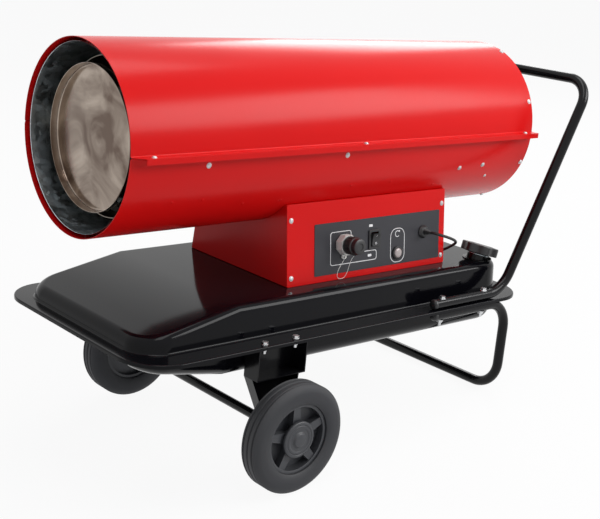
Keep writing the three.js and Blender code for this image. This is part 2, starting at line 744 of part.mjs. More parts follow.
// Intake guard: a flat band inside the rear rim, concentric wires and radial wires
function intakeGrille() {
  const rear = casingRear - 3;
  const outer = casingRadius - casingSheet - 0.6;
  const wire = 2;
  const band = ring(outer - 2, outer, rear - grilleDepth, rear, 'x', 32);
  const guardPlane = rear - wire;
  const wires = [];
  for (let radius = 70; radius < outer - 20; radius += 34) {
    wires.push(turned([[radius - wire, guardPlane - wire], [radius + wire, guardPlane - wire],
      [radius, guardPlane + wire]], 'x', 20));
  }
  const boss = rod(40, guardPlane - wire, guardPlane + wire, 'x', 16);
  const spokes = [];
  for (let i = 0; i < 4; i++) {
    spokes.push(rod(wire, 38, outer - 1, 'z', 4).translate(guardPlane - 2, 0, 0).rotateX(i / 4 * full));
  }
  return join(band, boss, ...wires, ...spokes);
}

addPiece(air, 'intake_grille', intakeGrille(), blackPaint);

// ---------------------------------------------------------------------------------------------------
// Fuel lines: suction pipe from the tank to the pump, pressure pipe from the pump to the nozzle line

const suctionX = pumpFront + 22;
addPiece(chassis, 'suction_pipe', along(new BentPath([
  [standpipe.x, standpipe.y, lowerFlangeTop - bottomDepth + 18],
  [standpipe.x, standpipe.y, casingAxis - 130],
  [suctionX, standpipe.y, casingAxis - 90],
  [suctionX, standpipe.y, casingAxis - 30 - clearance]], 18, 4), standpipe.radius, 8), copper);

const pressureHeight = casingAxis + 4;
addPiece(chassis, 'pressure_pipe', along(new BentPath([
  [pumpFront - clearance, -12, pressureHeight],
  [pumpFront - 26, -12, pressureHeight],
  [nozzleLineEnd + 14, 0, casingAxis],
  [nozzleLineEnd + clearance, 0, casingAxis]], 8, 4), 3, 8), copper);

// ---------------------------------------------------------------------------------------------------
// Control box: folded sheet on the tank top, cut to the tube above it and open on the panel side

const panelSheet = 1.5;
const halfAt = (height) => boxHalfBottom - height * Math.tan(panelLean);
const boxSection = (inset, nearInset, low, high) => [
  [-(halfAt(low) - nearInset), boxBase + low], [halfAt(low) - inset, boxBase + low],
  [halfAt(high) - inset, boxBase + high], [-(halfAt(high) - nearInset), boxBase + high]];

function controlBox() {
  const behindPanel = (panelSheet + clearance) / Math.cos(panelLean);
  const side = boxSheet / Math.cos(panelLean);
  const outer = prism(boxSection(0, behindPanel, 0, boxHeight), 'yz', boxFront, boxRear);
  const inner = prism(boxSection(side, behindPanel + side, boxSheet, boxHeight - boxSheet), 'yz',
    boxFront + boxSheet, boxRear - boxSheet);
  const mouth = prism([[-boxHalfBottom - 20, boxBase + 12], [-boxHalfTop + 20, boxBase + 12],
    [-boxHalfTop + 20, boxBase + boxHeight - 14], [-boxHalfBottom - 20, boxBase + boxHeight - 14]], 'yz',
  boxFront + 22, boxRear - 22);
  const saddle = rod(casingRadius + 0.6, boxFront - 5, boxRear + 5, 'x', 56).translate(0, 0, casingAxis);
  const pipe = rod(standpipe.radius + 3, boxBase - 5, boxBase + 8, 'z', 8)
    .translate(standpipe.x, standpipe.y, 0);
  return cut(outer, inner, mouth, saddle, pipe);
}

addPiece(chassis, 'control_box', controlBox(), redPaint);

const floorTop = boxBase + boxSheet + clearance;
addPiece(chassis, 'burner_control_unit', join(
  block(120, 215, -60, 25, floorTop, floorTop + 12),
  block(124, 211, -56, 21, floorTop + 12, floorTop + 58),
  rod(9, floorTop + 58, floorTop + 64, 'z', 12).translate(150, -18, 0),
), blackPlastic);
addPiece(chassis, 'ignition_transformer', join(
  block(300, 400, -70, 0, floorTop, floorTop + 56),
  rod(8, 400, 416, 'x', 8).translate(0, -50, floorTop + 28),
  rod(8, 400, 416, 'x', 8).translate(0, -20, floorTop + 28),
  block(288, 300, -62, -8, floorTop, floorTop + 2.5),
), castAlloy);

// ---------------------------------------------------------------------------------------------------
// Control panel. In the panel's own frame x runs along the box, y up the slope and z out of the face.

const panel = new THREE.Group();
panel.position.set(boxFront, -boxHalfBottom, boxBase);
panel.rotation.x = Math.PI / 2 - panelLean;
chassis.add(panel);

const thermostatAt = [170, 81];
const switchAt = [269.5, 83];
const resetAt = [347, 42];
const glandAt = [437, 84.5];
const switchCut = [14.3, 19.3];      // half sizes of the switch cut-out
const fascia = { left: 81, right: 495, low: 15, high: 134, sheet: 0.8 };
const face = clearance + fascia.sheet + clearance;

const panelRod = (radius, from, to, [x, y], segments = 14) => rod(radius, from, to, 'z', segments)
  .translate(x, y, 0);
const panelHoles = [
  panelRod(15, -10, 10, thermostatAt),
  block(switchAt[0] - switchCut[0], switchAt[0] + switchCut[0],
    switchAt[1] - switchCut[1], switchAt[1] + switchCut[1], -10, 10),
  panelRod(14.5, -10, 10, resetAt),
  panelRod(10.5, -10, 10, glandAt),
];

addPiece(panel, 'control_panel',
  cut(block(0, boxLength, 0, panelHeight, -panelSheet, 0), ...panelHoles), redPaint);
addPiece(panel, 'panel_fascia', cut(block(fascia.left, fascia.right, fascia.low, fascia.high,
  clearance, clearance + fascia.sheet), ...panelHoles), fasciaFilm);

// Thermostat socket: octagonal white housing with a round well; the plug fills the well
const socketOut = face + 19;
const wellRadius = 17;
addPiece(panel, 'thermostat_socket', cut(join(
  rod(25, face, socketOut, 'z', 8).rotateZ(Math.PI / 8),
  rod(14.5, -16, face + 1, 'z', 16),
  block(-7, 7, -34, -18, face, face + 4),
), rod(wellRadius, face + 5, socketOut + 5, 'z', 16),
rod(2.5, face - 5, face + 9, 'z', 8).translate(0, -30, 0))
  .translate([...thermostatAt, 0]), whitePlastic);
addPiece(panel, 'thermostat_plug', join(
  rod(wellRadius - 0.9, face + 7, socketOut + 1, 'z', 16),
  turned([[0, socketOut + 0.5], [21, socketOut + 0.5], [21, socketOut + 22], [18.5, socketOut + 25],
    [18.5, socketOut + 34], [15, socketOut + 38], [0, socketOut + 38]], 'z', 16),
).translate([...thermostatAt, 0]), blackPlastic);

// Rocker switch: bezel with its closed body, and the rocker on a pivot across the cut-out
const rockerPivot = face + 1;
const rockerRest = THREE.MathUtils.degToRad(10);
addPiece(panel, 'switch_bezel', cut(join(
  block(-19, 19, -23, 23, face, face + 3),
  block(-14, 14, -19, 19, -20, face + 1),
), block(-12, 12, -17, 17, -18, 20)).translate([...switchAt, 0]), blackPlastic);
addPiece(panel, 'switch_rocker', prism([[-15, 8], [-14.6, 1], [-7, -9], [7, -9], [14.6, 1], [15, 8],
  [0, 5.4]], 'yz', -11.5, 11.5).rotateX(rockerRest)
  .translate(switchAt[0], switchAt[1], rockerPivot), blackPlastic);

// Reset button under a clear cap, in a round bezel
addPiece(panel, 'reset_bezel', turned([[0, -16], [14, -16], [14, face], [16, face], [16, face + 3],
  [15, face + 4], [12.4, face + 4], [12.4, -13], [0, -13]], 'z', 14)
  .translate(resetAt[0], resetAt[1], 0), blackPlastic);
addPiece(panel, 'reset_button', turned([[0, -6], [11.9, -6], [11.9, face + 4], [9, face + 6.5],
  [0, face + 7.5]], 'z', 14).translate(resetAt[0], resetAt[1], 0), clearRed);

// Cable gland with its lock nut and tapered strain relief
const reliefEnd = face + 26;
addPiece(panel, 'cable_gland', turned([[0, -10], [14, -10], [14, -2], [10, -2], [10, face], [16, face],
  [16, face + 3], [12, face + 7], [7, face + 8], [cordRadius + 0.9, reliefEnd], [0, reliefEnd]], 'z', 14)
  .translate(glandAt[0], glandAt[1], 0), blackPlastic);

// ---------------------------------------------------------------------------------------------------
// Mains cord: out of the gland, round the box's rear corner, down on the tank and into its coil

const panelPoint = ([x, y], out) => new THREE.Vector3(x, y, out)
  .applyMatrix4(new THREE.Matrix4().makeRotationX(panel.rotation.x)).add(panel.position);
const cordStart = panelPoint(glandAt, reliefEnd + clearance);
const cordLead = panelPoint(glandAt, reliefEnd + 11);
const onTank = tankTop + clearance + cordRadius;
const coilX = 663;
const coilY = 30;
const coilEntry = coilX - coilRadius;

const cordPoints = [
  cordStart, cordLead,
  [511, -217, 374], [521, -227, 371.5], [535, -232, 367], [551, -231, 361], [567, -225, 354],
  [581, -215, 346], [592, -201, 337], [599, -185, 327], [603, -168, 316.5], [606, -150, 306.5],
  [609, -132, 298], [612, -113, 292.3], [615, -93, 290.2], [617, -70, onTank], [coilEntry, -45, onTank],
  [coilEntry, -20, onTank], [coilEntry, 5, onTank],
  [coilEntry, coilY - 2 * cordRadius - clearance, onTank],
].map((place) => (place instanceof THREE.Vector3 ? place : new THREE.Vector3(...place)));
const cordPath = new THREE.CatmullRomCurve3(cordPoints, false, 'centripetal');
addPiece(chassis, 'power_cord', along(cordPath, cordRadius, 8, 24), cordSheath);

// Two layers of turns: the lower spirals in, the cord climbs in half a turn and spirals out again.
class CoilPath extends THREE.Curve {
  getPoint(t) {
    const lead = 2 * cordRadius;
    const turnLength = full * (coilRadius - coilPitch * coilTurns / 4);
    const length = turnLength * coilTurns + 2 * lead;
    const travelled = t * length;
    if (travelled < lead) return new THREE.Vector3(coilEntry, coilY - lead + travelled, onTank);
    if (travelled > length - lead) {
      return new THREE.Vector3(coilEntry, coilY + travelled - (length - lead), onTank + coilLayer);
    }
    const turn = (travelled - lead) / turnLength;
    const spiral = (coilTurns - 0.5) / 2;
    const inner = coilRadius - coilPitch * spiral;
    let radius = coilRadius - coilPitch * turn;
    let climb = 0;
    if (turn > spiral) {
      const s = Math.min((turn - spiral) / 0.5, 1);
      climb = s * s * (3 - 2 * s);
      radius = s < 1 ? inner - coilDip * Math.sin(Math.PI * s)
        : inner + coilPitch * (turn - spiral - 0.5);
    }
    const a = Math.PI - full * turn;
    return new THREE.Vector3(coilX + radius * Math.cos(a), coilY + radius * Math.sin(a),
      onTank + climb * coilLayer);
  }
  getPointAt(t) { return this.getPoint(t); }
  getTangentAt(t) {
    const step = 1e-4;
    return this.getPoint(Math.min(t + step, 1)).sub(this.getPoint(Math.max(t - step, 0))).normalize();
  }
}

const coilPath = new CoilPath();
addPiece(chassis, 'cord_coil', along(coilPath, cordRadius, 6, coilTurns * 24 + 2), cordSheath);

function leastCoilGap() {
  const samples = 800;
  const points = Array.from({ length: samples + 1 }, (_, i) => coilPath.getPoint(i / samples));
  const apart = Math.ceil(samples / coilTurns / 3);
  let least = Infinity;
  for (let i = 0; i < points.length; i++) {
    for (let j = i + apart; j < points.length; j++) least = Math.min(least, points[i].distanceTo(points[j]));
  }
  return least - 2 * cordRadius;
}
console.log(`least gap between the cord's turns ${leastCoilGap().toFixed(2)} mm`);

// The coil's end runs on to the plug, which lies beside it.
const plugBody = 19;
const plugHeight = tankTop + clearance + plugBody;
const plugStart = 132;
const tailPoints = [
  [coilY + 2 * cordRadius + clearance, onTank + coilLayer], [48, onTank + coilLayer - 0.2],
  [60, onTank + coilLayer - 1.2], [74, onTank + coilLayer - 1.4], [88, onTank + coilLayer + 0.6],
  [102, onTank + coilLayer + 4.4], [114, plugHeight - 1.4], [122, plugHeight],
  [plugStart - clearance, plugHeight],
].map(([y, z]) => new THREE.Vector3(coilEntry, y, z));
const tailPath = new THREE.CatmullRomCurve3(tailPoints, false, 'centripetal');
addPiece(chassis, 'cord_tail', along(tailPath, cordRadius, 8, 8), cordSheath);

addPiece(chassis, 'mains_plug', join(
  turned([[0, 0], [cordRadius + 0.9, 0], [8, 16], [11, 18], [16, 24], [plugBody, 34], [plugBody, 50],
    [17.5, 52], [0, 52]], 'y', 14),
  rod(2.4, 50, 71, 'y', 6).translate(-9.5, 0, 0),
  rod(2.4, 50, 71, 'y', 6).translate(9.5, 0, 0),
).translate([coilEntry, plugStart, plugHeight]), blackPlastic);

// ---------------------------------------------------------------------------------------------------
// Handle and leg: bent tubes clamped on both sides of the flange by through bolts

const tubeSegments = 10;
const tubeBore = tubeRadius - tubeWall;
const plugDepth = 13;
const clampHole = (x, side) => rod(boltHole, legHeight - 2 * tubeRadius, handleHeight + 2 * tubeRadius, 'z', 6)
  .translate(x, side * tubeOffset, 0);
const clampHoles = sides.flatMap(([, side]) => clampBolts.map((x) => clampHole(x, side)));
const endBore = (start, height, side) => rod(tubeBore, start - 1, start + plugDepth + 4, 'x', 12)
  .translate(0, side * tubeOffset, height);

const handlePath = new BentPath([
  [handleStart, -tubeOffset, handleHeight], [handleBendX, -tubeOffset, handleHeight],
  [handleBarX, -tubeOffset, handleBar.z], [handleBarX, tubeOffset, handleBar.z],
  [handleBendX, tubeOffset, handleHeight], [handleStart, tubeOffset, handleHeight]],
[0, handleBend.radius, handleBar.radius, handleBar.radius, handleBend.radius, 0]);
const legPath = new BentPath([
  [legStart, -tubeOffset, legHeight], [legX, -tubeOffset, legHeight], [legX, -tubeOffset, -legBarDrop],
  [legX, tubeOffset, -legBarDrop], [legX, tubeOffset, legHeight], [legStart, tubeOffset, legHeight]],
legBend);

addPiece(chassis, 'handle', cut(along(handlePath, tubeRadius, tubeSegments),
  ...sides.map(([, side]) => endBore(handleStart, handleHeight, side)), ...clampHoles), blackPaint);
addPiece(chassis, 'rear_leg', cut(along(legPath, tubeRadius, tubeSegments),
  ...sides.map(([, side]) => endBore(legStart, legHeight, side)), ...clampHoles), blackPaint);

const endPlug = (start, height, side, capRadius) => turned([
  [0, start - 9], [capRadius - 3, start - 8], [capRadius, start - 4], [capRadius, start - clearance],
  [tubeBore - 0.4, start - clearance], [tubeBore - 0.4, start + plugDepth],
  [0, start + plugDepth]], 'x', 12)
  .translate(0, side * tubeOffset, height);
for (const [word, side] of sides) {
  addPiece(chassis, `handle_end_plug_${word}`,
    endPlug(handleStart, handleHeight, side, tubeRadius), blackPlastic);
  addPiece(chassis, `leg_end_plug_${word}`,
    endPlug(legStart, legHeight, side, tubeRadius - 0.5), blackPlastic);
  clampBolts.forEach((x, i) => {
    const top = handleHeight + tubeRadius + clearance;
    const bottom = legHeight - tubeRadius - clearance;
    addPiece(chassis, `clamp_bolt_${word}_${i + 1}`, join(
      rod(7.5, top, top + 5.5, 'z', 6), rod(7.5, bottom - 6.5, bottom, 'z', 6),
      rod(boltRadius, bottom - 13, top + 1, 'z', 6),
    ).translate([x, side * tubeOffset, 0]), zinc);
  });
}

// ---------------------------------------------------------------------------------------------------
// Wheel brackets: channels open outwards, wide under the flange and narrower down to the axle

const bracket = { front: -89, rear: 45, sheet: 2.5, web: 244, wide: 290, narrow: 272, shelf: 131 };
const bracketEnd = 30;               // radius of the rounded end round the axle

function lowerBracketOutline(inset) {
  const points = [[bracket.front + inset, bracket.shelf + 1], [bracket.rear - inset, bracket.shelf + 1]];
  const steps = 8;
  for (let i = 0; i <= steps; i++) {
    const a = -i / steps * Math.PI;
    const r = bracketEnd - inset;
    points.push([r * Math.cos(a), r * Math.sin(a)]);
  }
  return points;
}

function wheelBracket(side) {
  const { front, rear, sheet: wall, web, wide, narrow, shelf } = bracket;
  const top = flangeUnderside - clearance;
  const upper = cut(block(front, rear, web, wide, shelf, top),
    block(front + wall, rear - wall, web + wall, wide + 1, shelf + wall, top - wall));
  const lower = cut(prism(lowerBracketOutline(0), 'xz', web, narrow),
    prism(lowerBracketOutline(wall), 'xz', web + wall, narrow + 1));
  const holes = [rod(axleRadius + 0.6, web - 5, web + 10, 'y', 18),
    ...bracketBolts.map((x) => rod(boltHole, top - 6, top + 4, 'z', 6).translate(x, tubeOffset, 0))];
  const shape = cut(join(upper, lower), ...holes);
  return side > 0 ? shape : shape.mirror([0, 1, 0]);
}

for (const [word, side] of sides) {
  addPiece(chassis, `wheel_bracket_${word}`, wheelBracket(side), blackPaint);
}

// ---------------------------------------------------------------------------------------------------
// Axle, spacers and wheels

const axleEnd = track / 2 - 9;
addPiece(chassis, 'axle', rod(axleRadius, -axleEnd, axleEnd, 'y', 18), zinc);
for (const [word, side] of sides) {
  const shape = ring(axleRadius + 0.5, axleRadius + 6, bracket.web + bracket.sheet + clearance,
    wheelInner - 0.5, 'y', 14);
  addPiece(chassis, `wheel_spacer_${word}`, side > 0 ? shape : shape.rotateX(Math.PI), blackPlastic);
}

const halfWidth = wheelWidth / 2;

// Tyre section from the bore round the shoulders, with three grooves in the tread
function tyre() {
  const grooves = [-14, 0, 14];
  const tread = grooves.flatMap((y) => [[wheelRadius, y - 2.5], [wheelRadius - 4, y],
    [wheelRadius, y + 2.5]]);
  return turned([[tyreBore, -halfWidth + 6], [98, -halfWidth], [117, -halfWidth + 3],
    [wheelRadius, -halfWidth + 11], ...tread, [wheelRadius, halfWidth - 11], [117, halfWidth - 3],
    [98, halfWidth], [tyreBore, halfWidth - 6]], 'y', 24);
}

// Hub: rim band, web, barrel and wide tapered spokes that stand out of the web
function hub() {
  const rim = tyreBore - clearance - 0.3;
  const band = turned([[rim - 7, -halfWidth + 10], [rim, -halfWidth + 10], [rim, halfWidth - 10],
    [rim - 7, halfWidth - 10]], 'y', 24);
  const web = rod(rim - 4, -6, -2, 'y', 24);
  const barrel = rod(hubBarrelRadius, -halfWidth, halfWidth - 11, 'y', 16);
  const spokes = [];
  for (let i = 0; i < spokeCount; i++) {
    const spoke = prism([[-13, 16], [13, 16], [9, rim - 4], [-9, rim - 4]], 'xz', -4, halfWidth - 14);
    spokes.push(spoke.rotateY(-i / spokeCount * full));
  }
  const bore = rod(axleRadius + 0.6, -halfWidth - 5, halfWidth + 5, 'y', 18);
  return cut(join(band, web, barrel, ...spokes), bore);
}

const hubCap = () => turned([[0, halfWidth - 8.5], [hubBarrelRadius - 4, halfWidth - 8.5],
  [hubBarrelRadius - 4, halfWidth - 10.5], [hubCapRadius, halfWidth - 10.5], [hubCapRadius, halfWidth - 6],
  [hubCapRadius - 3, halfWidth - 3.5], [28, halfWidth - 3.5], [26, halfWidth - 5], [18, halfWidth - 5],
  [14, halfWidth], [0, halfWidth]], 'y', 18);

for (const [word, side] of sides) {
  const wheel = new THREE.Group();
  wheel.position.y = side * wheelMiddle;
  if (side < 0) wheel.rotation.z = Math.PI;
  running.add(wheel);
  addPiece(wheel, `tyre_${word}`, tyre(), rubber);
  addPiece(wheel, `wheel_hub_${word}`, hub(), greyPlastic);
  addPiece(wheel, `hub_cap_${word}`, hubCap(), greyPlastic);
}

// ---------------------------------------------------------------------------------------------------
// The origin is the middle of the footprint of everything but the cord and what is on it.

const cordPieces = ['cable_gland', 'power_cord', 'cord_coil', 'cord_tail', 'mains_plug'];
heater.updateMatrixWorld(true);
const bounds = new THREE.Box3();
heater.traverse((piece) => {
  if (piece.isMesh && !cordPieces.includes(piece.name)) bounds.expandByObject(piece, true);
});
const shift = -(bounds.min.x + bounds.max.x) / 2;
chassis.position.x = shift;
running.position.x = shift;
heater.updateMatrixWorld(true);

export default heater;
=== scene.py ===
# %% [markdown]
# # A wheeled forced air heater
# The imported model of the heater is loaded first. It is the fixed frame that every finished piece sits on:
# each piece rides on one of its bodies, so it follows when a wheel turns or the filler cap lifts.

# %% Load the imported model
import json
import math

import bmesh
import bpy
from mathutils import Matrix, Vector


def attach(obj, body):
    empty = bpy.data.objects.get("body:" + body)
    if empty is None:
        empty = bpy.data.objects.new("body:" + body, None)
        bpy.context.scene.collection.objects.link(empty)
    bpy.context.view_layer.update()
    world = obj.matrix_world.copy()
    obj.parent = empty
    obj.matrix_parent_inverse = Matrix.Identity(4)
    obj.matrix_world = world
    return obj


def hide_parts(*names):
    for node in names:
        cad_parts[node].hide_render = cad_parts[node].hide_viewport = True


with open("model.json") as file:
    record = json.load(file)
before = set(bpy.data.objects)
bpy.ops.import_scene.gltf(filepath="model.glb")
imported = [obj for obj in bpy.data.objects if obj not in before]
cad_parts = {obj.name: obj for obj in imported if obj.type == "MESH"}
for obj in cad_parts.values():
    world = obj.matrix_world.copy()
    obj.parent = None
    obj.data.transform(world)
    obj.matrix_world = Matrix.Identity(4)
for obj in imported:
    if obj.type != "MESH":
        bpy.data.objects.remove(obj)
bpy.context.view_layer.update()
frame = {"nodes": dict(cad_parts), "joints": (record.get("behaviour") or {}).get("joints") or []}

bpy.context.scene.view_settings.view_transform = "Standard"

# %% [markdown]
# ## The leaning frame
# The tank, the air tube and the control box were designed square to each other, but the heater stands on
# wheels that are taller than its leg, so all of that leans back by about five degrees. Pieces are modelled
# upright, measured from the axle, and one matrix then leans them. The lean is read from the fan's axis.

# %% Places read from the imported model
def moved(x, y, z):
    return Matrix.Translation((x, y, z))


def turned_by(angle, axis):
    return Matrix.Rotation(angle, 4, axis)


joints = {joint["name"]: joint for joint in frame["joints"]}
fan_axis = Vector(joints["fan_spin"]["axis"])
lean = math.atan2(-fan_axis.z, fan_axis.x)
axle = Vector(joints["wheel_near_spin"]["pos_m"])
axle.y = 0
chassis = Matrix.Translation(axle) @ turned_by(lean, "Y")

tube_axis = 0.608
air = chassis @ moved(0, 0, tube_axis)

box_front, box_rear, box_base, box_height = 0.070, 0.585, 0.2863, 0.183
box_half_low, box_half_high = 0.1795, 0.1558
panel_lean = math.atan2(box_half_low - box_half_high, box_height)
panel = (chassis @ moved(box_front, -box_half_low, box_base)
         @ turned_by(math.pi / 2 - panel_lean, "X"))

filler_at, filler_lean = (0.702, -0.190, 0.286), 0.253
filler = chassis @ moved(*filler_at) @ turned_by(filler_lean, "Y")
near_wheel = Matrix.Translation(joints["wheel_near_spin"]["pos_m"]) @ turned_by(math.pi, "Z")
far_wheel = Matrix.Translation(joints["wheel_far_spin"]["pos_m"])
print("lean of the chassis:", round(math.degrees(lean), 2), "degrees")

# %% [markdown]
# ## The camera
# The photograph was taken from the outlet end, about three metres away and a little above the tube. The
# place, the turn and the lens were worked out from the straight edges of the tank, the box and the tube,
# in the leaning frame, so the camera goes through the same matrix as the pieces.

# %% Camera
camera_place = Vector((-1.6109, -2.0440, 1.0468))
camera_right = Vector((0.75006, -0.65542, 0.08903))
camera_up = Vector((0.11105, 0.25749, 0.95998))
camera_forward = Vector((0.65200, 0.71010, -0.26590))

bpy.ops.object.select_all(action="DESELECT")
bpy.ops.object.camera_add()
camera = bpy.context.object
camera.name = "camera"
turned = Matrix((camera_right, camera_up, -camera_forward)).transposed().to_4x4()
camera.matrix_world = chassis @ Matrix.Translation(camera_place) @ turned
camera.data.sensor_width = 36
camera.data.lens = 71.03
bpy.context.scene.camera = camera

# %% [markdown]
# ## Tools for modelling by hand
# Each piece starts as a primitive in edit mode with nothing else selected. `pick` selects corners, edges
# or faces by where they are, as a click would, and `finish` applies the modifiers, puts the piece in its
# place and lets it ride on its body.

# %% Start, select and finish
def leave_edit():
    """Go back to object mode, if edit mode is open."""
    if bpy.context.mode != "OBJECT":
        bpy.ops.object.mode_set(mode="OBJECT")


def select_all():
    bpy.ops.mesh.select_all(action="SELECT")


def bevel(width, segments, kind="EDGES"):
    """Bevel the selected edges or corners."""
    bpy.ops.mesh.bevel(offset=width, segments=segments, affect=kind)


def extrude(x, y, z):
    """Extrude what is selected by a step."""
    bpy.ops.mesh.extrude_region_move(TRANSFORM_OT_translate={"value": (x, y, z)})


def start(add, name, **settings):
    """Add one primitive, name it and open it in edit mode."""
    leave_edit()
    bpy.ops.object.select_all(action="DESELECT")
    add(**settings)
    piece = bpy.context.object
    piece.name = name
    bpy.ops.object.transform_apply(location=True, rotation=True, scale=True)
    bpy.ops.object.mode_set(mode="EDIT")
    bpy.ops.mesh.select_mode(type="VERT")
    select_all()
    return piece


def cylinder(name, vertices, radius, depth, **settings):
    return start(bpy.ops.mesh.primitive_cylinder_add, name, vertices=vertices, radius=radius, depth=depth,
                 **settings)


def box(name, centre, size):
    """A cube that is scaled about its middle to its three sizes."""
    piece = start(bpy.ops.mesh.primitive_cube_add, name, size=1, location=centre)
    select_all()
    bpy.ops.transform.resize(value=size, center_override=centre)
    return piece


def pick(piece, kind, wanted):
    """Select in edit mode every corner, edge or face that passes the test."""
    bpy.ops.mesh.select_mode(type=kind)
    bpy.ops.mesh.select_all(action="DESELECT")
    mesh = bmesh.from_edit_mesh(piece.data)
    chosen = 0
    for item in {"VERT": mesh.verts, "EDGE": mesh.edges, "FACE": mesh.faces}[kind]:
        if wanted(item):
            item.select_set(True)
            chosen += 1
    mesh.select_flush_mode()
    bmesh.update_edit_mesh(piece.data)
    return chosen


def middle(edge):
    return (edge.verts[0].co + edge.verts[1].co) / 2


def upright(edge):
    return abs(edge.verts[0].co.z - edge.verts[1].co.z) > 1e-5


def along_x(edge):
    return abs(edge.verts[0].co.x - edge.verts[1].co.x) > 0.1


def bevel_rim(piece, above, width, segments, sharp=1):
    """Bevel the sharp edges whose middle lies above a height."""
    pick(piece, "EDGE", lambda e: middle(e).z > above and e.calc_face_angle(0) > sharp)
    bevel(width, segments)
    leave_edit()


def modify(piece, kind, **settings):
    """Add one modifier, set it and apply it."""
    bpy.ops.object.select_all(action="DESELECT")
    piece.select_set(True)
    bpy.context.view_layer.objects.active = piece
    modifier = piece.modifiers.new(kind.lower(), kind)
    for key, value in settings.items():
        setattr(modifier, key, value)
    bpy.ops.object.modifier_apply(modifier=modifier.name)


def join(pieces, name):
    """Make one mesh of several pieces."""
    bpy.ops.object.select_all(action="DESELECT")
    for piece in pieces:
        piece.select_set(True)
    bpy.context.view_layer.objects.active = pieces[0]
    bpy.ops.object.join()
    pieces[0].name = name
    return pieces[0]


def copy_to(piece, place):
    """A copy with its own mesh, moved by a matrix."""
    twin = piece.copy()
    twin.data = piece.data.copy()
    bpy.context.collection.objects.link(twin)
    twin.data.transform(place)
    if place.determinant() < 0:
        twin.data.flip_normals()
    return twin


def finish(piece, body, place, material, stands_for=(), wall=0, edge=0, smooth=35):
    """Give walls and edges their size, put the piece in its place and let it ride."""
    leave_edit()
    if wall:
        modify(piece, "SOLIDIFY", thickness=wall, offset=-1)
    if edge:
        modify(piece, "BEVEL", width=edge, segments=2, limit_method="ANGLE", angle_limit=math.radians(40))
    bpy.ops.object.select_all(action="DESELECT")
    piece.select_set(True)
    bpy.context.view_layer.objects.active = piece
    bpy.ops.object.shade_smooth_by_angle(angle=math.radians(smooth))
    modify(piece, "WEIGHTED_NORMAL", keep_sharp=True)
    piece.data.transform(place)
    piece.data.materials.clear()
    piece.data.materials.append(material)
    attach(piece, body)
    if stands_for:
        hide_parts(*stands_for)
    print(piece.name, len(piece.data.polygons), "faces")
    return piece


# %% [markdown]
# Turned and bent pieces start as a single corner that is extruded into a line. A spin turns the line into
# a wall. A bent tube is the same line with its corners rounded, made a curve that has a round section.

# %% Draw a line, spin it, or make it a tube
def draw(name, points, close=False):
    """A chain of edges, drawn by extruding one corner from point to point."""
    piece = start(bpy.ops.mesh.primitive_plane_add, name, size=0.001, location=points[0])
    bpy.ops.mesh.merge(type="CENTER")
    for here, there in zip(points, points[1:]):
        step = Vector(there) - Vector(here)
        bpy.ops.mesh.extrude_vertices_move(TRANSFORM_OT_translate={"value": step})
    if close:
        select_all()
        bpy.ops.mesh.edge_face_add()
    return piece


def spun(name, profile, axis, steps=96):
    """Spin a profile of (radius, distance along the axis) once round the axis."""
    across = {"X": Vector((0, 0, 1)), "Y": Vector((0, 0, 1)), "Z": Vector((1, 0, 0))}[axis]
    along = {"X": Vector((1, 0, 0)), "Y": Vector((0, 1, 0)), "Z": Vector((0, 0, 1))}[axis]
    piece = draw(name, [across * radius + along * distance for radius, distance in profile])
    select_all()
    bpy.ops.mesh.spin(steps=steps, angle=2 * math.pi, center=(0, 0, 0), axis=along)
    select_all()
    bpy.ops.mesh.remove_doubles(threshold=0.00001)
    bpy.ops.mesh.normals_make_consistent(inside=False)
    leave_edit()
    return piece


def from_level(level, profile):
    """A profile whose distances are counted from a level."""
    return [(radius, level + rise) for radius, rise in profile]


def bent_tube(name, points, bends, radius):
    """A tube through the points. bends gives (test of a corner, radius, angle it turns by)."""
    piece = draw(name, points)
    for wanted, bend, turn in bends:
        pick(piece, "VERT", wanted)
        bevel(bend * math.tan(turn / 2), 12, "VERTICES")
    leave_edit()
    bpy.ops.object.convert(target="CURVE")
    piece.data.bevel_depth = radius
    piece.data.bevel_resolution = 8
    piece.data.use_fill_caps = True
    bpy.ops.object.convert(target="MESH")
    return bpy.context.object


# %% [markdown]
# ## Shared effects
# Two effects return on most finishes, so each is a node group made once. `grain` gives a fine height and a
# roughness that wanders between two values. `dust` greys a colour a little where a face looks up.

# %% Node groups
def add_node(tree, kind, **values):
    """Add a shader node and set what it is given: inputs by name, settings by attribute."""
    node = tree.nodes.new("ShaderNode" + kind)
    for key, value in values.items():
        label = key.replace("_", " ").title()
        if label in node.inputs:
            node.inputs[label].default_value = value
        else:
            setattr(node, key, value)
    return node


def new_group(name, inputs, outputs):
    group = bpy.data.node_groups.new(name, "ShaderNodeTree")
    for label, kind, value in inputs:
        socket = group.interface.new_socket(label, in_out="INPUT", socket_type=kind)
        if value is not None:
            socket.default_value = value
    for label, kind in outputs:
        group.interface.new_socket(label, in_out="OUTPUT", socket_type=kind)
    return group, group.nodes.new("NodeGroupInput").outputs, group.nodes.new("NodeGroupOutput").inputs


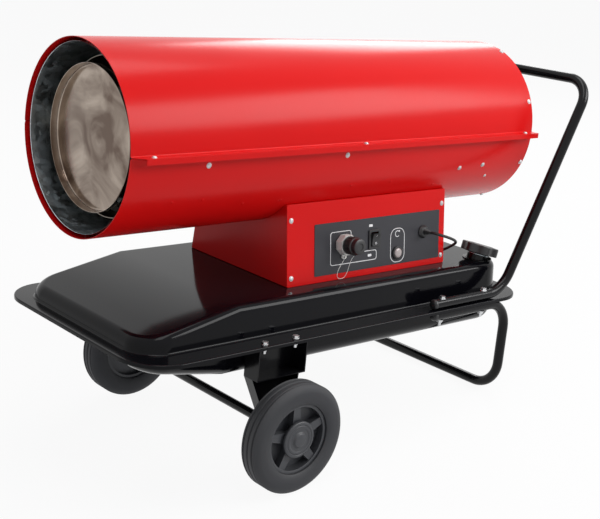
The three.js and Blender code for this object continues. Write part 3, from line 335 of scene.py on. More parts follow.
def make_grain():
    group, given, result = new_group("grain", [
        ("Vector", "NodeSocketVector", None), ("Scale", "NodeSocketFloat", 200),
        ("Smoothest", "NodeSocketFloat", 0.3), ("Roughest", "NodeSocketFloat", 0.4)],
        [("Height", "NodeSocketFloat"), ("Roughness", "NodeSocketFloat"), ("Tone", "NodeSocketFloat")])
    link = group.links.new
    fine = add_node(group, "TexNoise", detail=3)
    link(given["Vector"], fine.inputs["Vector"])
    link(given["Scale"], fine.inputs["Scale"])
    broad = add_node(group, "TexNoise", scale=6, detail=2)
    link(given["Vector"], broad.inputs["Vector"])
    spread = add_node(group, "MapRange", interpolation_type="SMOOTHSTEP", from_min=0.20, from_max=0.80)
    link(broad.outputs["Fac"], spread.inputs["Value"])
    link(given["Smoothest"], spread.inputs["To Min"])
    link(given["Roughest"], spread.inputs["To Max"])
    link(fine.outputs["Fac"], result["Height"])
    link(spread.outputs["Result"], result["Roughness"])
    link(broad.outputs["Fac"], result["Tone"])
    return group


def make_dust():
    group, given, result = new_group("dust", [
        ("Vector", "NodeSocketVector", None), ("Color", "NodeSocketColor", (0.1, 0.1, 0.1, 1)),
        ("Dust", "NodeSocketColor", (0.35, 0.33, 0.30, 1)), ("Amount", "NodeSocketFloat", 0.1)],
        [("Color", "NodeSocketColor")])
    link = group.links.new
    face = add_node(group, "NewGeometry")
    split = add_node(group, "SeparateXYZ")
    link(face.outputs["Normal"], split.inputs["Vector"])
    patches = add_node(group, "TexNoise", scale=14, detail=6)
    link(given["Vector"], patches.inputs["Vector"])
    upward = add_node(group, "Math", operation="MULTIPLY", use_clamp=True)
    link(split.outputs["Z"], upward.inputs[0])
    link(patches.outputs["Fac"], upward.inputs[1])
    share = add_node(group, "Math", operation="MULTIPLY")
    link(upward.outputs["Value"], share.inputs[0])
    link(given["Amount"], share.inputs[1])
    mix = add_node(group, "Mix", data_type="RGBA")
    link(share.outputs["Value"], mix.inputs["Factor"])
    link(given["Color"], mix.inputs[6])
    link(given["Dust"], mix.inputs[7])
    link(mix.outputs[2], result["Color"])
    return group


grain_group, dust_group = make_grain(), make_dust()

# %% [markdown]
# ## Finishes
# Most finishes differ only in colour, gloss, the size of their grain and how much dust they show, so one
# function builds them. Sheet with zinc flowers and the heat-tinted disc have patterns of their own.

# %% A finish from the shared effects
relief_distance = 0.0005


def new_material(name, metallic=0.0):
    """A material with its node tree, its main shader and the piece's own coordinates."""
    material = bpy.data.materials.new(name)
    material.use_nodes = True
    tree = material.node_tree
    shader = tree.nodes["Principled BSDF"]
    shader.inputs["Metallic"].default_value = metallic
    where = add_node(tree, "TexCoord").outputs["Object"]
    return material, tree, shader, where


def two_shades(tree, fac, dark, light, low=0.0, high=1.0):
    """A ramp from one colour to another, driven by a value."""
    ramp = add_node(tree, "ValToRGB")
    for element, position, colour in zip(ramp.color_ramp.elements, (low, high), (dark, light)):
        element.position, element.color = position, (*colour, 1)
    tree.links.new(fac, ramp.inputs["Fac"])
    return ramp.outputs["Color"]


def add_relief(tree, shader, height, strength, distance=relief_distance):
    bump = add_node(tree, "Bump", strength=strength, distance=distance)
    tree.links.new(height, bump.inputs["Height"])
    tree.links.new(bump.outputs["Normal"], shader.inputs["Normal"])


def add_group(tree, group, vector, **values):
    node = tree.nodes.new("ShaderNodeGroup")
    node.node_tree = group
    for key, value in values.items():
        node.inputs[key.title()].default_value = value
    tree.links.new(vector, node.inputs["Vector"])
    return node


def finish_material(name, colour, gloss, grain, bump, tint=0.06, metallic=0.0, coat=0.0, dust=0.0,
                    shine=0.5):
    """gloss is (smoothest, roughest); grain is the noise scale and bump its strength."""
    material, tree, shader, where = new_material(name, metallic)
    link = tree.links.new
    for label, value in (("Coat Weight", coat), ("Coat Roughness", 0.05), ("Specular IOR Level", shine)):
        shader.inputs[label].default_value = value
    upright_place = add_node(tree, "Mapping", rotation=(0, -lean, 0))
    link(where, upright_place.inputs["Vector"])
    fine = add_group(tree, grain_group, upright_place.outputs["Vector"], scale=grain, smoothest=gloss[0],
                     roughest=gloss[1])
    link(fine.outputs["Roughness"], shader.inputs["Roughness"])
    shades = two_shades(tree, fine.outputs["Tone"], [c * (1 - tint) for c in colour],
                        [min(1, c * (1 + tint)) for c in colour], 0.3, 0.7)
    if dust:
        settled = add_group(tree, dust_group, where, amount=dust)
        link(shades, settled.inputs["Color"])
        shades = settled.outputs["Color"]
    link(shades, shader.inputs["Base Color"])
    add_relief(tree, shader, fine.outputs["Height"], bump)
    return material


red_paint = finish_material("red_paint", (0.68, 0.006, 0.006), (0.22, 0.25), 90, 0.01, 0.01, shine=0.13)
tank_paint = finish_material("tank_paint", (0.003, 0.003, 0.0045), (0.08, 0.11), 70, 0.01, 0.05,
                             dust=0.003, shine=0.13)
tube_paint = finish_material("tube_paint", (0.004, 0.004, 0.005), (0.16, 0.20), 240, 0.01, 0.1,
                             dust=0.003, shine=0.20)
zinc = finish_material("zinc", (0.62, 0.63, 0.64), (0.25, 0.40), 500, 0.10, 0.08, metallic=1.0)
cast_alloy = finish_material("cast_alloy", (0.45, 0.46, 0.47), (0.45, 0.60), 700, 0.35, metallic=1.0)
chamber_steel = finish_material("chamber_steel", (0.40, 0.33, 0.27), (0.25, 0.45), 60, 0.10, 0.25,
                                metallic=1.0)
copper = finish_material("copper", (0.72, 0.38, 0.22), (0.25, 0.45), 300, 0.08, 0.1, metallic=1.0)
tyre_rubber = finish_material("tyre_rubber", (0.022, 0.023, 0.027), (0.55, 0.70), 420, 0.15, 0.15, dust=0.08)
soft_rubber = finish_material("soft_rubber", (0.020, 0.020, 0.021), (0.60, 0.75), 500, 0.25)
hub_plastic = finish_material("hub_plastic", (0.040, 0.042, 0.048), (0.42, 0.52), 600, 0.12, 0.1, dust=0.06)
black_plastic = finish_material("black_plastic", (0.014, 0.014, 0.015), (0.38, 0.50), 700, 0.25)
white_plastic = finish_material("white_plastic", (0.78, 0.77, 0.73), (0.35, 0.45), 500, 0.10, 0.03)
fascia_film = finish_material("fascia_film", (0.036, 0.036, 0.042), (0.38, 0.46), 900, 0.08, 0.06, shine=0.30)
print_white = finish_material("print_white", (0.80, 0.80, 0.80), (0.45, 0.55), 800, 0.05, 0.02)
cord_rubber = finish_material("cord_rubber", (0.012, 0.012, 0.012), (0.50, 0.62), 900, 0.20)
button_red = finish_material("button_red", (0.42, 0.36, 0.35), (0.15, 0.25), 300, 0.05, 0.05, coat=0.8)


# %% [markdown]
# Hot-dip zinc freezes in flowers: patches of crystal that each mirror the light a little differently. A
# Voronoi pattern gives one value per patch, which shifts both the grey and the gloss.

# %% Galvanised sheet
def galvanised_sheet():
    material, tree, shader, where = new_material("galvanised", 1.0)
    link = tree.links.new
    flowers = add_node(tree, "TexVoronoi", scale=90)
    link(where, flowers.inputs["Vector"])
    value = add_node(tree, "SeparateColor")
    link(flowers.outputs["Color"], value.inputs["Color"])
    link(two_shades(tree, value.outputs["Red"], (0.38, 0.44, 0.47), (0.58, 0.64, 0.67)),
         shader.inputs["Base Color"])
    gloss = add_node(tree, "MapRange", to_min=0.28, to_max=0.50)
    link(value.outputs["Green"], gloss.inputs["Value"])
    link(gloss.outputs["Result"], shader.inputs["Roughness"])
    fine = add_group(tree, grain_group, where, scale=400)
    add_relief(tree, shader, fine.outputs["Height"], 0.12)
    return material


galvanised = galvanised_sheet()


# %% [markdown]
# The disc in the outlet is bright steel that the flame has tinted brown. It is thin, so it reflects like a
# slightly wavy mirror. Two noises do this: one for the tint, one wide and shallow for the waves.

# %% Heat-tinted disc
def tinted_mirror():
    material, tree, shader, where = new_material("tinted_mirror", 1.0)
    link = tree.links.new
    tint = add_node(tree, "TexNoise", scale=8, detail=5, distortion=1.6)
    link(where, tint.inputs["Vector"])
    link(two_shades(tree, tint.outputs["Fac"], (0.13, 0.092, 0.072), (0.40, 0.335, 0.28), 0.35, 0.65),
         shader.inputs["Base Color"])
    gloss = add_node(tree, "MapRange", to_min=0.08, to_max=0.24)
    link(tint.outputs["Fac"], gloss.inputs["Value"])
    link(gloss.outputs["Result"], shader.inputs["Roughness"])
    waves = add_node(tree, "TexNoise", scale=9, detail=1)
    link(where, waves.inputs["Vector"])
    add_relief(tree, shader, waves.outputs["Fac"], 0.5, 0.004)
    return material


disc_steel = tinted_mirror()

# %% [markdown]
# ## The mains cord
# A heater like this has a short lead of about a metre and a half. It leaves the box through a gland, bends
# down behind the box's corner, and the rest of it lies wound up on the tank with its plug, where the
# photograph doesn't look. Its route is the one of the imported model: listed points to the coil, turns
# from a formula, and points from the coil to the plug.

# %% Route of the cord
tank_top, seat_gap = 0.286, 0.0003
cord_radius = 0.0035
gland_at = (0.437, 0.0845)
relief_end = 0.0274
on_tank = tank_top + seat_gap + cord_radius
coil_x, coil_y, coil_radius = 0.663, 0.030, 0.045
coil_pitch, coil_layer, coil_turns, coil_dip = 0.0079, 0.0078, 4, 0.0025
coil_entry = coil_x - coil_radius
plug_height, plug_start = tank_top + seat_gap + 0.019, 0.132

to_coil = [
    (0.511, -0.217, 0.374), (0.521, -0.227, 0.3715), (0.535, -0.232, 0.367), (0.551, -0.231, 0.361),
    (0.567, -0.225, 0.354), (0.581, -0.215, 0.346), (0.592, -0.201, 0.337), (0.599, -0.185, 0.327),
    (0.603, -0.168, 0.3165), (0.606, -0.150, 0.3065), (0.609, -0.132, 0.298), (0.612, -0.113, 0.2923),
    (0.615, -0.093, 0.2902), (0.617, -0.070, on_tank), (coil_entry, -0.045, on_tank),
    (coil_entry, -0.020, on_tank), (coil_entry, 0.005, on_tank)]
to_plug = [(y, on_tank + coil_layer + rise) for y, rise in [
    (0.048, -0.0002), (0.060, -0.0012), (0.074, -0.0014), (0.088, 0.0006), (0.102, 0.0044)]]
to_plug += [(0.114, plug_height - 0.0014), (0.122, plug_height), (plug_start, plug_height)]


def coil_point(turn):
    """A point of the coil: a spiral in, half a turn of climb, and a spiral out."""
    spiral = (coil_turns - 0.5) / 2
    radius, climb = coil_radius - coil_pitch * turn, 0
    if turn > spiral:
        inner = coil_radius - coil_pitch * spiral
        part = min((turn - spiral) / 0.5, 1)
        climb = part * part * (3 - 2 * part)
        radius = inner + coil_pitch * (turn - spiral - 0.5)
        if part < 1:
            radius = inner - coil_dip * math.sin(math.pi * part)
    angle = math.pi - 2 * math.pi * turn
    return (coil_x + radius * math.cos(angle), coil_y + radius * math.sin(angle),
            on_tank + climb * coil_layer)


def leave_gland(out):
    return chassis.inverted() @ panel @ Vector((*gland_at, out))


route = [leave_gland(relief_end), leave_gland(relief_end + 0.011)] + [Vector(p) for p in to_coil]
route += [Vector((coil_entry, coil_y - 2 * cord_radius, on_tank))]
route += [Vector(coil_point(step / 24)) for step in range(24 * coil_turns + 1)]
route += [Vector((coil_entry, coil_y + 2 * cord_radius, on_tank + coil_layer))]
route += [Vector((coil_entry, y, z)) for y, z in to_plug]
route = [chassis @ point for point in route]
cord_length = sum((b - a).length for a, b in zip(route, route[1:]))
print("cord:", len(route), "points,", round(cord_length, 3), "m")

# %% [markdown]
# The cord is one Bezier curve through the route with a round section. Automatic handles keep it smooth.

# %% Cord
def smooth_curve(name, points, radius, sides, steps):
    """Round line through the points, on automatic handles."""
    line = bpy.data.curves.new(name, "CURVE")
    line.dimensions = "3D"
    spline = line.splines.new("BEZIER")
    spline.bezier_points.add(len(points) - 1)
    for knot, point in zip(spline.bezier_points, points):
        knot.co = point
        knot.handle_left_type = knot.handle_right_type = "AUTO"
    line.bevel_depth, line.bevel_resolution, line.resolution_u = radius, sides, steps
    line.use_fill_caps = True
    curve = bpy.data.objects.new(name, line)
    bpy.context.collection.objects.link(curve)
    return curve


mains_cord = smooth_curve("mains_cord", route, cord_radius, 4, 4)
mains_cord.data.materials.append(cord_rubber)
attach(mains_cord, "chassis")
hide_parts("power_cord", "cord_coil", "cord_tail")

# %% [markdown]
# ## The casing
# The air tube is two rolled half shells. Where they meet, each has a lip that is bent outwards, and the
# upper lip is folded down over the lower one. A cylinder is cut in half, its open edges are extruded into
# the lips, and a Solidify modifier gives the sheet its thickness.

# %% Sizes of the air tube
casing_radius, casing_sheet = 0.2033, 0.0015
casing_front, casing_length = -0.376, 1.213
casing_rear = casing_front + casing_length
lip_width, lip_fold = 0.0227, 0.011


def half_tube(name, side):
    """Half of the casing, open along the seam: side is 1 for the upper half, -1 for the lower."""
    piece = cylinder(name, 160, casing_radius, casing_length, end_fill_type="NOTHING",
                     rotation=(0, math.pi / 2, 0), location=(casing_front + casing_length / 2, 0, 0))
    select_all()
    seam = side * (0.00015 + casing_sheet)
    bpy.ops.mesh.bisect(plane_co=(0, 0, seam), plane_no=(0, 0, 1),
                        clear_inner=side > 0, clear_outer=side < 0)
    for hand in (-1, 1):
        pick(piece, "EDGE", lambda e: abs(middle(e).z - seam) < 1e-5 and middle(e).y * hand > 0.1
             and along_x(e))
        width = lip_width - (0 if side > 0 else casing_sheet + 0.0005)
        extrude(0, hand * width, 0)
        if side > 0:
            extrude(0, 0, -lip_fold - casing_sheet)
        pick(piece, "VERT", lambda v: v.co.x < casing_front + 0.001
             and v.co.y * hand > casing_radius + 0.01)
        bpy.ops.transform.translate(value=(lip_width, 0, 0))
    select_all()
    bpy.ops.mesh.normals_make_consistent(inside=False)
    root = casing_radius + 0.001
    pick(piece, "EDGE", lambda e: along_x(e)
         and casing_radius - 0.001 < abs(middle(e).y) < root and abs(middle(e).z - seam) < 1e-4)
    bevel(0.0025, 3)
    return piece


# %% [markdown]
# One function makes both halves, because they differ only in their lips. Each half then gets its sheet
# thickness inwards, so that the outside keeps the radius that was drawn.

# %% Casing halves
for name, side in (("casing_top", 1), ("casing_bottom", -1)):
    shell = half_tube(name, side)
    node = "casing_upper" if side > 0 else "casing_lower"
    finish(shell, "chassis", air, red_paint, [node], wall=casing_sheet, edge=0.0003)

# %% [markdown]
# ## Shield, disc and chamber in the outlet
# Behind the red rim sits a galvanised shield. In it hangs the combustion chamber, and in front of that a
# bright disc with a turned-forward rim that spreads the flame. All three are spun from their profiles.

# %% Inner shield
shield_radius, shield_front, shield_length, shield_sheet = 0.1945, casing_front + 0.008, 0.728, 0.0012
shield = spun("outlet_shield", [
    (shield_radius - shield_sheet, shield_front + shield_length),
    (shield_radius - shield_sheet, shield_front + 0.001), (shield_radius - 0.0006, shield_front),
    (shield_radius, shield_front + 0.001), (shield_radius, shield_front + shield_length),
    (shield_radius - shield_sheet, shield_front + shield_length)], "X", steps=128)
bracket_angles = [math.radians(degrees) for degrees in (60, 180, 300)]
chamber_front, chamber_radius = casing_front + 0.075, 0.167
strap_width = 0.024


def round_tube(angle):
    """Turn about the tube's axis, from straight up to an angle counted from the panel side."""
    return turned_by(math.pi / 2 - angle, "X")


def strap(points, angle, edge):
    """Strip of sheet that is bent along a line of (x, height) points, then turned to its place."""
    strip = draw("strap", [(x, -strap_width / 2, height) for x, height in points])
    select_all()
    extrude(0, strap_width, 0)
    leave_edit()
    modify(strip, "SOLIDIFY", thickness=0.0015, offset=0)
    modify(strip, "BEVEL", width=edge, segments=2)
    strip.data.transform(round_tube(angle))
    return strip


def z_bracket(angle):
    """Strap that is bent twice: it holds the chamber in the middle of the shield."""
    foot = chamber_radius + 0.0003
    return strap([(chamber_front + 0.030, foot), (chamber_front + 0.012, foot),
                  (chamber_front + 0.012, shield_radius - 0.0007)], angle, 0.0006)


spacer_angles = [math.radians(degrees) for degrees in (30, 150, 270)]
dimples = []
for station in (shield_front + 0.030, shield_front + shield_length - 0.040):
    for angle in spacer_angles:
        dimple = cylinder("dimple", 24, 0.007, 0.0062, location=(station, 0, shield_radius + 0.0026))
        pick(dimple, "FACE", lambda f: f.normal.z > 0.9)
        bpy.ops.transform.resize(value=(0.6, 0.6, 1))
        leave_edit()
        dimple.data.transform(round_tube(angle))
        dimples.append(dimple)
shield = join([shield, *[z_bracket(angle) for angle in bracket_angles], *dimples], "outlet_shield")
finish(shield, "chassis", air, galvanised, ["inner_shield"], smooth=30)

# %% [markdown]
# The disc is pressed from bright sheet: nearly flat, with a rim turned forward. Its profile goes out along
# the front and back along the rear, so one spin gives it its thickness too. Three bent straps carry it. One
# is folded from a drawn line and turned to each place.

# %% Disc with its rim and legs
disc_front, disc_radius, disc_depth = casing_front + 0.032, 0.152, 0.018
disc = spun("flame_disc", [
    (0, disc_front + disc_depth - 0.0025), (0.050, disc_front + disc_depth - 0.0022),
    (0.110, disc_front + disc_depth - 0.0010), (disc_radius - 0.008, disc_front + disc_depth),
    (disc_radius - 0.004, disc_front + disc_depth - 0.001), (disc_radius - 0.0015, disc_front + 0.013),
    (disc_radius - 0.0015, disc_front + 0.0004), (disc_radius - 0.0007, disc_front),
    (disc_radius, disc_front + 0.0004), (disc_radius, disc_front + 0.014),
    (disc_radius - 0.003, disc_front + disc_depth + 0.0005),
    (disc_radius - 0.008, disc_front + disc_depth + 0.0015),
    (0, disc_front + disc_depth + 0.0015)], "X", steps=128)


def disc_leg(angle):
    """Strap from the back of the disc to the inside of the chamber."""
    seat = chamber_radius - 0.0032 - 0.0008
    return strap([(disc_front + disc_depth, disc_radius - 0.004), (chamber_front, seat),
                  (chamber_front + 0.022, seat)], angle, 0.0005)


disc = join([disc, *[disc_leg(angle) for angle in bracket_angles]], "flame_disc")
finish(disc, "chassis", air, disc_steel, ["baffle_disc"], smooth=40)

# %% [markdown]
# The chamber is a tube that narrows to the burner at the back. Little more than its front edge shows, but
# it closes the view into the casing, so it is spun whole.

# %% Combustion chamber
chamber_rear, chamber_cone, cone_radius, burner_hole = chamber_front + 0.631, 0.030, 0.110, 0.0505
chamber = spun("flame_chamber", [
    (chamber_radius - 0.0015, chamber_front), (chamber_radius, chamber_front),
    (chamber_radius, chamber_rear - chamber_cone), (cone_radius, chamber_rear),
    (burner_hole, chamber_rear), (burner_hole, chamber_rear - 0.0015),
    (cone_radius - 0.0008, chamber_rear - 0.0015),
    (chamber_radius - 0.0015, chamber_rear - chamber_cone - 0.0008),
    (chamber_radius - 0.0015, chamber_front)], "X", steps=96)
finish(chamber, "chassis", air, chamber_steel, ["combustion_chamber"])

# %% [markdown]
# ## The fuel tank
# The tank is two deep-drawn shells that meet at a wide flange. For each, two flat outlines with round
# corners are drawn, one for the flange and one for the pressed well. Their faces are deleted and the
# outlines bridged, which leaves the flange. The inner outline is then extruded to the depth of the well and
# closed. A cut across makes the crease in front of which the shell slopes, and bevels round its edges.

# %% A pressed shell
flange_top, tank_sheet, flange_fold = 0.210, 0.0016, 0.008


def shape_sheet(front, rear, half, corner, height):
    """Turn the selected unit square into an outline with round corners."""
    bpy.ops.transform.resize(value=(rear - front, 2 * half, 1), center_override=(0, 0, 0))
    bpy.ops.transform.translate(value=((front + rear) / 2, 0, height))
    bevel(corner, 10, "VERTICES")


def pressed_shell(name, level, rim, well, depth, crease, slope, fillet, way):
    """way is 1 for a well that is pressed up and -1 for one that is pressed down."""
    piece = start(bpy.ops.mesh.primitive_plane_add, name, size=1)
    select_all()
    shape_sheet(*well, level)
    bpy.ops.mesh.primitive_plane_add(size=1)
    shape_sheet(*rim, level)
    select_all()
    bpy.ops.mesh.delete(type="ONLY_FACE")
    select_all()
    bpy.ops.mesh.bridge_edge_loops()
    front, rear, half, _ = well
    pick(piece, "EDGE", lambda e: all(front - 1e-4 < v.co.x < rear + 1e-4 and abs(v.co.y) < half + 1e-4
                                      for v in e.verts))
    extrude(0, 0, way * depth)
    draft = 0.004
    bpy.ops.transform.resize(value=(1 - 2 * draft / (rear - front), 1 - draft / half, 1),
                             center_override=((front + rear) / 2, 0, 0))
    bpy.ops.mesh.edge_face_add()
    select_all()
    bpy.ops.mesh.bisect(plane_co=(crease, 0, 0), plane_no=(1, 0, 0))
    top = level + way * depth
    pick(piece, "VERT", lambda v: v.co.x < crease - 1e-5 and abs(v.co.z - top) < 1e-4)
    lean_by = math.atan(slope)
    bpy.ops.transform.rotate(value=way * lean_by, orient_axis="Y", center_override=(crease, 0, top))
    stretch = 1 / math.cos(lean_by)
    bpy.ops.transform.resize(value=(stretch, 1, stretch), center_override=(crease, 0, top))
    select_all()
    bpy.ops.mesh.normals_make_consistent(inside=False)
    pick(piece, "EDGE", lambda e: e.is_manifold and e.calc_face_angle(0) > 0.8
         and way * (middle(e).z - level) > 0.01)
    bevel(fillet, 6)
    pick(piece, "EDGE", lambda e: e.is_manifold and e.calc_face_angle(0) > 0.8
         and abs(middle(e).z - level) < 1e-4)
    bevel(0.005, 3)
    return piece


# %% [markdown]
# The upper shell is pressed up from its flange. In front of the crease its top slopes down, so that the
# outlet stands clear of it.

# %% Upper shell
upper = pressed_shell("tank_upper", flange_top, (-0.380, 0.800, 0.295, 0.097), (-0.348, 0.764, 0.240, 0.070),
                      0.076, -0.105, 0.197, 0.018, 1)
print("front of the slope:", round(min(v.co.z for v in bmesh.from_edit_mesh(upper.data).verts
                                       if v.co.x < -0.33 and v.co.z > 0.225), 4))

# %% [markdown]
# The upper shell's own edge is folded down all round, which hides the seam. The boundary edges are extruded
# down and the fold is rounded. Then the sheet gets its thickness and the hole that the filler neck stands on.

# %% Folded edge and filler hole
pick(upper, "EDGE", lambda e: e.is_boundary)
extrude(0, 0, -flange_fold)
select_all()
bpy.ops.mesh.normals_make_consistent(inside=False)
pick(upper, "EDGE", lambda e: e.is_manifold and e.calc_face_angle(0) > 0.8
     and abs(middle(e).z - flange_top) < 1e-4)
bevel(0.003, 4)
leave_edit()


def carve(piece, tool):
    """Cut the shape of one piece out of another with a Boolean modifier."""
    leave_edit()
    modify(piece, "BOOLEAN", operation="DIFFERENCE", object=tool, solver="EXACT")
    bpy.data.objects.remove(tool, do_unlink=True)


modify(upper, "SOLIDIFY", thickness=tank_sheet, offset=-1)
hole = cylinder("hole", 48, 0.0245, 0.04, location=filler_at)
carve(upper, hole)
finish(upper, "chassis", chassis, tank_paint, ["tank_top_shell"], smooth=30)

# %% [markdown]
# The lower shell is the same kind of pressing, turned down. Its floor rises towards the front, above the
# axle. It lies just under the upper flange and inside its fold.

# %% Lower shell
lower_flange = flange_top - tank_sheet - 0.0003 - tank_sheet
lower = pressed_shell("tank_lower", lower_flange, (-0.3781, 0.7981, 0.2931, 0.0951),
                      (-0.346, 0.762, 0.238, 0.068), 0.0744, -0.129, 0.179, 0.028, -1)
leave_edit()
modify(lower, "SOLIDIFY", thickness=tank_sheet, offset=-1)
finish(lower, "chassis", chassis, tank_paint, ["tank_bottom_shell"], smooth=30)

# %% [markdown]
# ## The control box
# A folded sheet box stands on the tank and carries the tube. It starts as a cube whose top is narrowed. Its
# edges get the small radius of a fold, the panel side is opened, and the tube is cut out of the top.

# %% Control box
box_middle = ((box_front + box_rear) / 2, 0, box_base + box_height / 2)
control_box = box("box_shell", box_middle, (box_rear - box_front, 2 * box_half_low, box_height))
pick(control_box, "VERT", lambda v: v.co.z > box_middle[2])
bpy.ops.transform.resize(value=(1, box_half_high / box_half_low, 1), center_override=box_middle)
pick(control_box, "VERT", lambda v: v.co.y < 0)
bpy.ops.transform.translate(value=(0, 0.0018 / math.cos(panel_lean), 0))
pick(control_box, "EDGE", lambda e: max(v.co.y for v in e.verts) > 0)
bevel(0.0018, 3)
pick(control_box, "FACE", lambda f: f.normal.y < -0.9)
bpy.ops.mesh.delete(type="FACE")
leave_edit()
modify(control_box, "SOLIDIFY", thickness=0.0015, offset=-1)
tube = cylinder("tube", 160, casing_radius + 0.0006, 0.6, rotation=(0, math.pi / 2, 0),
                location=(box_middle[0], 0, tube_axis))
carve(control_box, tube)
finish(control_box, "chassis", chassis, red_paint, ["control_box"], smooth=30)

# %% [markdown]
# ## The control panel
# The panel is its own sheet, screwed on, with a dark plastic film on it. Both are flat blanks with the same
# cut-outs, so one function makes them in the panel's own frame: x along the box, y up, z out of the face.

# %% Panel and film
panel_height = math.hypot(box_height, box_half_low - box_half_high)
thermostat_at, switch_at, reset_at = (0.170, 0.081), (0.2695, 0.083), (0.347, 0.042)
film_face = 0.0011
fitted = film_face + 0.0003


def blank(name, left, right, low, high, under, face):
    """Flat sheet of the panel with the four cut-outs."""
    centre = ((left + right) / 2, (low + high) / 2, (under + face) / 2)
    piece = box(name, centre, (right - left, high - low, face - under))
    pick(piece, "EDGE", upright)
    bevel(0.003, 5)
    for place, radius in ((thermostat_at, 0.015), (reset_at, 0.0145), (gland_at, 0.0105)):
        carve(piece, cylinder("cut", 40, radius, 0.02, location=(*place, 0)))
    carve(piece, box("cut", (*switch_at, 0), (0.0286, 0.0386, 0.02)))
    return piece


finish(blank("front_panel", 0, box_rear - box_front, 0, panel_height, -0.0015, 0), "chassis", panel,
       red_paint, ["control_panel"], edge=0.0005)
finish(blank("panel_film", 0.081, 0.495, 0.015, 0.134, 0.0003, film_face), "chassis", panel,
       fascia_film, ["panel_fascia"], edge=0.0001)

# %% [markdown]
# White lines are printed on the film round each control. A line is an outline with round corners: the face
# is inset by the width of the line, its middle deleted, and what is left gets the thickness of ink.

# %% Printed lines
ink_height = film_face + 0.00006


def ink(outline):
    """Draw and fill an outline on the film."""
    return draw("ink", [Vector((x, y, ink_height)) for x, y in outline], close=True)


def dry(line):
    """Give drawn ink its thickness."""
    leave_edit()
    modify(line, "SOLIDIFY", thickness=0.0001, offset=0)
    return line


def printed_frame(outline, corner, width=0.0017):
    line = ink(outline)
    pick(line, "VERT", lambda v: True)
    bevel(corner, 6, "VERTICES")
    select_all()
    bpy.ops.mesh.inset(thickness=width, depth=0)
    bpy.ops.mesh.delete(type="FACE")
    return dry(line)


def printed_patch(left, right, low, high):
    patch = ink([(left, low), (right, low), (right, high), (left, high)])
    pick(patch, "VERT", lambda v: True)
    bevel(min(right - left, high - low) * 0.3, 4, "VERTICES")
    return dry(patch)


def round_sign(radius, angles):
    return [(sign_x + radius * math.cos(a), sign_y + radius * math.sin(a)) for a in map(math.radians, angles)]


sign_x, sign_y = 0.348, 0.088
prints = [printed_frame([(0.129, 0.112), (0.129, 0.034), (0.278, 0.034), (0.278, 0.058), (0.195, 0.058),
                         (0.195, 0.112)], 0.007),
          printed_frame([(0.324, 0.102), (0.324, 0.019), (0.373, 0.019), (0.373, 0.102)], 0.020),
          printed_patch(0.249, 0.261, 0.043, 0.049), printed_patch(0.252, 0.264, 0.113, 0.119)]
# Generic sign for a reset: a round arrow with its point.
prints += [dry(ink(round_sign(0.008, range(40, 321, 20)) + round_sign(0.0062, range(320, 39, -20)))),
           dry(ink([(sign_x + x, sign_y + y)
                    for x, y in ((0.0036, 0.0075), (0.0088, 0.0082), (0.0078, 0.0030))]))]
finish(join(prints, "panel_print"), "chassis", panel, print_white, smooth=20)

# %% [markdown]
# ## Controls on the panel
# The thermostat socket is an eight-sided housing with a round well. A black cap is pushed into it, and a
# clear string through a lug keeps the cap from getting lost.

# %% Thermostat socket and its cap
socket_out = fitted + 0.019
socket = cylinder("socket_housing", 8, 0.025, 0.019, location=(0, 0, fitted + 0.0095),
                  rotation=(0, 0, math.pi / 8))
pick(socket, "FACE", lambda f: f.normal.z > 0.9)
bpy.ops.mesh.inset(thickness=0.002, depth=0)
bpy.ops.transform.translate(value=(0, 0, -0.0008))
carve(socket, cylinder("cut", 48, 0.017, 0.04, location=(0, 0, fitted + 0.005 + 0.02)))
lug = box("lug", (0, -0.027, fitted + 0.002), (0.014, 0.014, 0.004))
pick(lug, "EDGE", lambda e: upright(e) and middle(e).y < -0.03)
bevel(0.005, 5)
carve(lug, cylinder("cut", 20, 0.0025, 0.02, location=(0, -0.030, fitted)))
socket_place = panel @ moved(*thermostat_at, 0)
finish(join([socket, lug], "socket_housing"), "chassis", socket_place, white_plastic,
       ["thermostat_socket"], edge=0.0007)

cap = spun("thermostat_cap", from_level(fitted, [(0, 0.007), (0.0155, 0.007), (0.0161, 0.0076)])
           + from_level(socket_out, [
               (0.0161, 0.0005), (0.0205, 0.0005), (0.0210, 0.0010), (0.0210, 0.0030), (0.0202, 0.0035),
               (0.0202, 0.0185), (0.0210, 0.0190), (0.0210, 0.0215), (0.0200, 0.0230), (0.0185, 0.0245),
               (0.0185, 0.0335), (0.0178, 0.0360), (0.0150, 0.0378), (0.0085, 0.0380), (0.0078, 0.0365),
               (0, 0.0365)]), "Z", steps=64)
ribs = []
for step in range(16):
    rib = cylinder("rib", 10, 0.0012, 0.0155, location=(0.0200, 0, socket_out + 0.011))
    pick(rib, "FACE", lambda f: abs(f.normal.z) > 0.9)
    bevel(0.0003, 1)
    leave_edit()
    rib.data.transform(turned_by(step / 16 * 2 * math.pi, "Z"))
    ribs.append(rib)
finish(join([cap, *ribs], "thermostat_cap"), "plug_cap", socket_place, black_plastic,
       ["thermostat_plug"])

# %% [markdown]
# The rocker switch is a frame with a window and a rocker that shows one raised end. The rocker's side view is
# drawn, filled and extruded to its width.

# %% Rocker switch
bezel = box("switch_frame", (0, 0, fitted + 0.0015), (0.038, 0.046, 0.003))
pick(bezel, "EDGE", upright)
bevel(0.003, 5)
carve(bezel, box("cut", (0, 0, 0), (0.024, 0.034, 0.05)))
switch_place = panel @ moved(*switch_at, 0)
finish(bezel, "chassis", switch_place, black_plastic, ["switch_bezel"], edge=0.0008)

